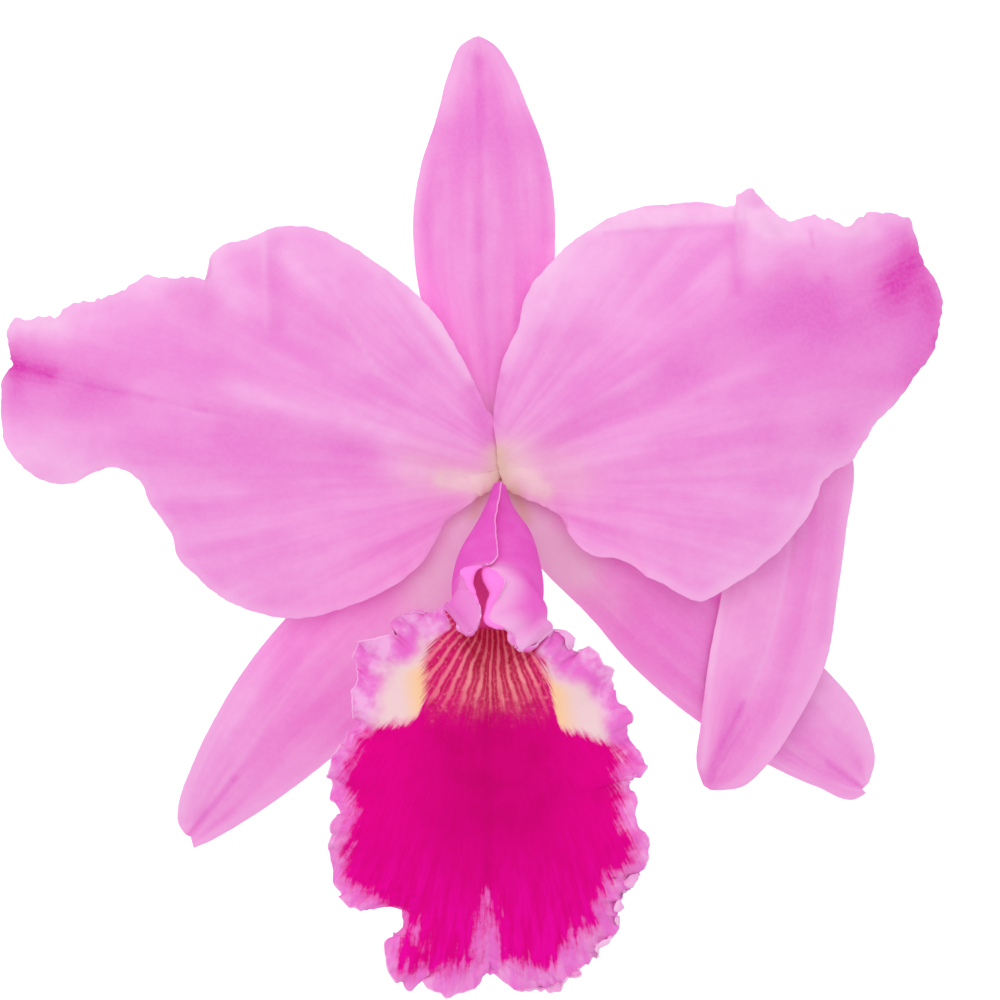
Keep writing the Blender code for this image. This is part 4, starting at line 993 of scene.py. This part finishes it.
def flesh_material(name, main, second, stripes, top=None):
    """Column, cap and stalk: a main colour with lengthwise stripes and clouds of a second one, and
    another colour above the height of the sepals' bases where one is given."""
    w = Wiring(name)
    own = w.put("TexCoord", out="Object")
    long_way = w.noise(w.stretched(own, stripes, 60, 60), 1.0, 3.0)
    clouds = w.noise(own, 120, 3.0)
    share = w.between(w.plus(long_way, w.times(clouds, 0.6)), 0.65, 1.05)
    grain = w.noise(own, 1500, 2.0)
    skin = w.mix(share, main, second)
    if top:
        height = w.put("SeparateXYZ", {0: own}, out=2)
        skin = w.mix(w.between(height, 11 * MM, 16 * MM), skin, top)
    living(w, skin, w.between(grain, 0.3, 0.7, 0.4, 0.55))
    w.bump(w.plus(grain, long_way), 0.3, 0.08)
    return w.material


def build_blade(name, form, detail, material, sizes):
    """One sepal or petal with its detail, in place of the CAD node of the same name."""
    outlines, grid, crown, calm = form
    drawn = blade(*outlines, grid, crown, calm)
    surface = in_place(drawn)
    base, tip = in_place(np.array([outlines[0][0], outlines[0][-1]]))
    reach = np.linalg.norm(surface - base, axis=-1)
    tip_way = np.linalg.norm(surface - tip, axis=-1)
    angle = detail["fan"](drawn, outlines)
    rim = margin_distance(surface)
    columns = surface.shape[1]
    rib = np.linalg.norm(surface - surface[:, columns // 2, None], axis=-1)
    run = margin_run(surface)
    seed = detail["seed"]
    ends = smooth_step(reach / BANDS_FROM_BASE) * smooth_step(tip_way / BANDS_FROM_TIP)
    bands = wander(angle * WIDE_BANDS + 40, seed) + 0.35 * wander(angle * NARROW_BANDS + 90, seed + 1)
    height = detail["swell"] * ends * bands
    height += detail["crimp"] * ripple(run, rim, LONG_WAVE, seed + 2)
    height += 0.5 * detail["crimp"] * ripple(run, rim, SHORT_WAVE, seed + 3)
    height += strokes(drawn, FOLDS.get(name, []))
    height -= detail["groove"] * np.exp(-((rib / 0.8) ** 2)) * ends
    teeth = detail["teeth"] * (0.08 + 0.24 * strokes(drawn, TOOTHED.get(name, [])))
    teeth *= ripple(run, rim, SHORT_TOOTH, seed + 4) + 0.7 * ripple(run, rim, LONG_TOOTH, seed + 5)
    surface = surface + height[..., None] * normals(surface) + teeth[..., None] * outwards(surface)
    for line, shift in TUCKS.get(name, []):
        surface = surface + strokes(drawn, [(*line, 1.0)])[..., None] * np.array(shift)
    thin = sizes.margin_thickness / MM
    half = (thin + (sizes.rib_thickness / MM - thin) * smooth_step(rim / FULL_THICKNESS_FROM)) / 2
    fields = {
        "rim": rim,
        "pale": strokes(drawn, PALE_AND_LIT[name]),
        "deep": strokes(drawn, DEEP_AND_SHADED[name]),
        "flush": strokes(drawn, FLUSH.get(name, [])),
        "cream": strokes(drawn, CREAM[name]),
        "tan": strokes(drawn, TAN_AND_SHADOW),
        "fan": np.stack([angle, reach / 40], -1),
    }
    points, faces, fields = plate(surface, half, fields)
    points[:, 2] = np.maximum(points[:, 2], 0)
    uv = fields.pop("fan")
    item = put_mesh(name + "_blade", points, outward(points, faces), fields, uv)
    dress(item, name, material)


def fan_angle(drawn, outlines):
    """The angle in radians round a blade's base, from the way to its tip."""
    base, tip = np.array(outlines[0])[[0, -1], :2]
    ahead = (tip - base) / np.linalg.norm(tip - base)
    offset = drawn[..., :2] - (base - 6 * ahead)
    return np.arctan2(offset @ np.array([-ahead[1], ahead[0]]), offset @ ahead)


def side_share(drawn, outlines):
    """How far across the blade a point is, from -1 at one margin to 1 at the other, over three."""
    columns = drawn.shape[1]
    s = across(columns // 2)
    return np.repeat(np.concatenate([-s[:0:-1], s])[None] / 3, len(drawn), axis=0)


class BLOOM_OT_sepals(bpy.types.Operator):
    """Build the three sepals and the one more behind the right petal"""

    bl_idname = "bloom.sepals"
    bl_label = "Sepals"
    bl_options = {"REGISTER", "UNDO"}

    def execute(self, context):
        sizes, colours = context.scene.bloom_sizes, context.scene.bloom_colours
        material = blade_material("sepal_skin", colours, colours.sepal, colours.sepal_base)
        for seed, (name, outlines) in enumerate(SEPALS.items(), start=10):
            detail = {
                "fan": side_share,
                "swell": 0.1,
                "crimp": 0.05,
                "groove": 0.15,
                "teeth": 0.3,
                "seed": 10 * seed,
            }
            form = (outlines, SEPAL_GRID, SEPAL_CROWN, SEPAL_CALM)
            build_blade(name, form, detail, material, sizes)
        return {"FINISHED"}


class BLOOM_OT_petals(bpy.types.Operator):
    """Build the two broad petals"""

    bl_idname = "bloom.petals"
    bl_label = "Petals"
    bl_options = {"REGISTER", "UNDO"}

    def execute(self, context):
        sizes, colours = context.scene.bloom_sizes, context.scene.bloom_colours
        material = blade_material("petal_skin", colours, colours.petal, colours.cream)
        for seed, (name, outlines) in enumerate(PETALS.items(), start=30):
            detail = {
                "fan": fan_angle,
                "swell": sizes.petal_swell / MM,
                "crimp": sizes.margin_crimp / MM,
                "groove": 0.08,
                "teeth": 1.0,
                "seed": 10 * seed,
            }
            form = (outlines, PETAL_GRID, PETAL_CROWN, PETAL_CALM)
            build_blade(name, form, detail, material, sizes)
        return {"FINISHED"}


def lip_fields(drawn, rim, inside):
    """Where the lip's areas are, as fields over what is drawn. Throat, cream and field are distances
    in millimetres to the area's border, positive inside. Warm and line tell how near the middle of the
    field is, low how far down the throat a point lies from 0 to 1, side how far out in the throat, and
    flap whether it is beside the mouth. Glow is painted light: how strongly the tube's mouth gives off
    light and pales, in place of the light that comes through the tube's thin wall."""
    x, y = drawn[..., 0], drawn[..., 1]
    rows = np.linspace(0, 1, len(drawn))[:, None]
    left = np.interp(-y, THROAT_LOW, THROAT_LEFT)
    right = np.interp(-y, THROAT_LOW, THROAT_RIGHT)
    opened = smooth_step((rows - 0.27) / 0.08)
    throat = (1 - opened) * (14 * inside - 0.6) + opened * np.minimum(x - left, right - x)
    cream = np.full(x.shape, -50.0)
    for sign, ((x0, y0), (x1, y1)) in zip((1, -1), CREAM_LINES):
        below = ((x - x0) * (y1 - y0) - (y - y0) * (x1 - x0)) * -sign / math.hypot(x1 - x0, y1 - y0)
        cream = np.maximum(cream, np.minimum(below, (4 - x) * sign))
    border = 3.0 + 1.5 * smooth_step((-62 - y) / 16) - 2.5 * strokes(drawn, [FIELD_REACH])
    wedge = abs(x - 2.9) + 0.26 * (y + 66) + 0.6 * np.maximum(y + 66, 0)
    top = np.interp(x, FIELD_TOP_X, FIELD_TOP_Y) - y
    cream = np.minimum(np.minimum(cream, 2.5 - top), 1.4 * rim - 6.2)
    cream -= 20 * (1 - smooth_step((rows - 0.33) / 0.04))
    field = np.minimum(np.minimum(rim - border, 2.2 * top), wedge)
    field = np.where(rows < 0.3, -20, field)
    return {
        "throat": throat,
        "cream": cream,
        "field": field,
        "warm": np.exp(-(((x - 3.6) / 12.5) ** 4)) * smooth_step((y + 72) / 28),
        "line": np.exp(-(((x - 3.0) / 0.8) ** 2)) * smooth_step((y + 70) / 12),
        "low": (-24 - y) / 12.5,
        "side": smooth_step((abs(x - 4.6) - 3.6) / 4.5),
        "flap": smooth_step((rows - 0.15) / 0.04) * (0.45 + 0.55 * smooth_step((x - 1) / 3)),
        "glow": 0.24 * (1 - smooth_step((rows - 0.24) / 0.08)) * smooth_step((y + 21.5) / 1.6),
    }


class BLOOM_OT_lip(bpy.types.Operator):
    """Build the lip, rolled into a tube and spread into its ruffled front lobe"""

    bl_idname = "bloom.lip"
    bl_label = "Lip"
    bl_options = {"REGISTER", "UNDO"}

    def execute(self, context):
        sizes, colours = context.scene.bloom_sizes, context.scene.bloom_colours
        drawn, inside = lip_blade(LIP_GRID)
        surface = in_place(drawn)
        rim = margin_distance(surface)
        run = margin_run(surface)
        offset = drawn[..., :2] - FAN_ROOT
        reach = np.linalg.norm(offset, axis=-1)
        angle = np.arctan2(offset[..., 0], -offset[..., 1])
        frill = sizes.lip_frill / MM
        lobe = smooth_step((np.linspace(0, 1, len(drawn)) - 0.2) / 0.2)[:, None]
        height = lobe * frill * ripple(run, rim, LIP_LONG_WAVE, 71)
        height += (0.4 + 0.6 * lobe) * 0.35 * frill * ripple(run, rim, LIP_SHORT_WAVE, 72)
        height += lobe * 0.15 * wander(angle * 12, 73) * smooth_step(reach / 30)
        height += strokes(drawn, LIP_FOLDS)
        teeth = 1.3 * ripple(run, rim, LIP_LONG_TOOTH, 74) + 0.4 * ripple(run, rim, LIP_SHORT_TOOTH, 75)
        teeth *= sizes.lip_teeth / MM * (0.35 + 0.65 * lobe)
        surface = surface + height[..., None] * normals(surface) + teeth[..., None] * outwards(surface)
        thin = sizes.margin_thickness / MM
        half = (thin + (sizes.lip_thickness / MM - thin) * smooth_step(rim / LIP_FULL_THICKNESS_FROM)) / 2
        fields = lip_fields(drawn, rim, inside)
        fields.update({"rim": rim, "fan": np.stack([angle, reach / 10], -1)})
        points, faces, fields = plate(surface, half, fields)
        uv = fields.pop("fan")
        item = put_mesh("lip_blade", points, outward(points, faces), fields, uv)
        dress(item, "lip", lip_material(colours))
        return {"FINISHED"}


class BLOOM_OT_column(bpy.types.Operator):
    """Build the column and the anther cap on its tip"""

    bl_idname = "bloom.column"
    bl_label = "Column"
    bl_options = {"REGISTER", "UNDO"}

    def execute(self, context):
        colours = context.scene.bloom_colours
        rings, sides = COLUMN_GRID
        t = np.linspace(0, 1, rings)
        width = COLUMN_BASE_RADIUS + (COLUMN_TIP_RADIUS - COLUMN_BASE_RADIUS) * smooth_step(t)
        width = np.repeat(width[:, None], sides, axis=1)
        path = in_place(along(COLUMN, t))
        points, walls, caps = swept(path, sides, width, width * COLUMN_DEPTH_SHARE)
        item = put_mesh("column_body", points, [*walls.tolist(), *caps])
        material = flesh_material("column_skin", colours.column, colours.petal_pale, 900)
        dress(item, "column", material)
        end = in_place(along(COLUMN, np.array([0.95, 1.0])))
        run = (end[1] - end[0]) / np.linalg.norm(end[1] - end[0])
        height = np.sin(np.linspace(0, 1.45, ANTHER_CAP_RINGS))
        path = end[1] + (ANTHER_CAP_GAP + ANTHER_CAP_LENGTH * height)[:, None] * run
        lobed = 1 + ANTHER_CAP_LOBING * np.cos(2 * np.linspace(0, 2 * math.pi, sides, endpoint=False))
        width = ANTHER_CAP_WIDTH_SHARE * COLUMN_TIP_RADIUS * np.sqrt(1 - height**2)[:, None] * lobed
        points, walls, caps = swept(path, sides, width, width * COLUMN_DEPTH_SHARE)
        item = put_mesh("anther_cap_dome", points, [*walls.tolist(), *caps])
        material = flesh_material("cap_skin", colours.cap, colours.yellow, 700)
        dress(item, "anther_cap", material)
        return {"FINISHED"}


class BLOOM_OT_stalk(bpy.types.Operator):
    """Build the ribbed ovary and its stalk behind the flower"""

    bl_idname = "bloom.stalk"
    bl_label = "Ovary and stalk"
    bl_options = {"REGISTER", "UNDO"}

    def execute(self, context):
        colours = context.scene.bloom_colours
        rings, sides = STALK_GRID
        t = np.linspace(0, 1, rings)
        path = along(STALK, t)
        ovary = 1 - smooth_step((t - 0.15) / 0.35)
        receptacle = 1 - smooth_step(t / 0.07)
        radius = STALK_RADIUS + OVARY_SWELL * ovary + RECEPTACLE_SWELL * receptacle
        angle = np.linspace(0, 2 * math.pi, sides, endpoint=False)
        ribbed = (1 - receptacle) * (1 - smooth_step((t - 0.3) / 0.3))
        ribs = 1 + RIB_HEIGHT_SHARE * ribbed[:, None] * np.cos(RIBS * (angle - math.pi * t[:, None]))
        neck = np.array([[*STALK[0][:2], z] for z in NECK_HEIGHTS])
        path = np.concatenate([neck, path])
        width = np.concatenate([np.full((len(neck), sides), NECK_RADIUS), radius[:, None] * ribs])
        points, walls, caps = swept(in_place(path), sides, width, width)
        item = put_mesh("ovary_and_stalk_skin", points, [*walls.tolist(), *caps])
        material = flesh_material("stalk_skin", colours.stalk, colours.cream, 500, colours.tan)
        dress(item, "ovary_and_stalk", material)
        return {"FINISHED"}


class BLOOM_OT_stage(bpy.types.Operator):
    """Put down the floor, the light and the camera that looks down on the bloom"""

    bl_idname = "bloom.stage"
    bl_label = "Stage"
    bl_options = {"REGISTER", "UNDO"}

    def execute(self, context):
        scene = context.scene
        stage = scene.bloom_stage
        scene.view_settings.view_transform = "Standard"
        ways = ((-1, -1), (1, -1), (1, 1), (-1, 1))
        corners = np.array([(x * FLOOR_REACH, y * FLOOR_REACH, FLOOR_LEVEL) for x, y in ways])
        floor = put_mesh("floor", corners, [(0, 1, 2, 3)])
        w = Wiring("floor_paper")
        w.coat(Base_Color=stage.floor, Roughness=0.9, Specular_IOR_Level=0.1)
        w.coat(Emission_Color=stage.floor, Emission_Strength=stage.floor_glow)
        floor.data.materials.append(w.material)
        world = bpy.data.worlds.new("sky")
        scene.world = world
        world.use_nodes = True
        sky = world.node_tree.nodes["Background"]
        sky.inputs["Color"].default_value = (1, 1, 1, 1)
        sky.inputs["Strength"].default_value = stage.sky
        lamp = bpy.data.lights.new("key", "AREA")
        lamp.shape = "RECTANGLE"
        lamp.size, lamp.size_y = LAMP_SIZE
        lamp.energy = stage.key
        key = bpy.data.objects.new("key", lamp)
        key.location = LAMP_PLACE
        x, y, z = LAMP_PLACE
        key.rotation_euler = (-math.atan2(y, z), math.atan2(x, z), 0)
        scene.collection.objects.link(key)
        lens = bpy.data.cameras.new("camera")
        lens.lens = stage.lens
        lens.sensor_width = SENSOR_WIDTH
        lens.clip_start = 0.01
        camera = bpy.data.objects.new("camera", lens)
        camera.location = [*(VIEW_AXIS * MM), (VIEW_LEVEL + VIEW_HEIGHT) * MM]
        scene.collection.objects.link(camera)
        scene.camera = camera
        return {"FINISHED"}


STEPS = (BLOOM_OT_stage, BLOOM_OT_sepals, BLOOM_OT_petals, BLOOM_OT_lip, BLOOM_OT_column, BLOOM_OT_stalk)


class VIEW3D_PT_bloom(bpy.types.Panel):
    """The bloom's pieces, one button each"""

    bl_label = "Orchid bloom"
    bl_space_type = "VIEW_3D"
    bl_region_type = "UI"
    bl_category = "Bloom"

    def draw(self, context):
        for step in STEPS:
            self.layout.operator(step.bl_idname)
        for group in ("bloom_sizes", "bloom_colours", "bloom_stage"):
            box = self.layout.box()
            settings = getattr(context.scene, group)
            for name in settings.__annotations__:
                box.prop(settings, name)


GROUPS = {"bloom_sizes": BloomSizes, "bloom_colours": BloomColours, "bloom_stage": BloomStage}


def register():
    for item in (*GROUPS.values(), *STEPS, VIEW3D_PT_bloom):
        bpy.utils.register_class(item)
    for name, group in GROUPS.items():
        setattr(bpy.types.Scene, name, PointerProperty(type=group))


def unregister():
    for name in GROUPS:
        delattr(bpy.types.Scene, name)
    for item in reversed((*GROUPS.values(), *STEPS, VIEW3D_PT_bloom)):
        bpy.utils.unregister_class(item)


def main():
    register()
    for step in STEPS:
        family, name = step.bl_idname.split(".")
        getattr(getattr(bpy.ops, family), name)()
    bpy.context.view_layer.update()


if __name__ == "__main__":
    main()
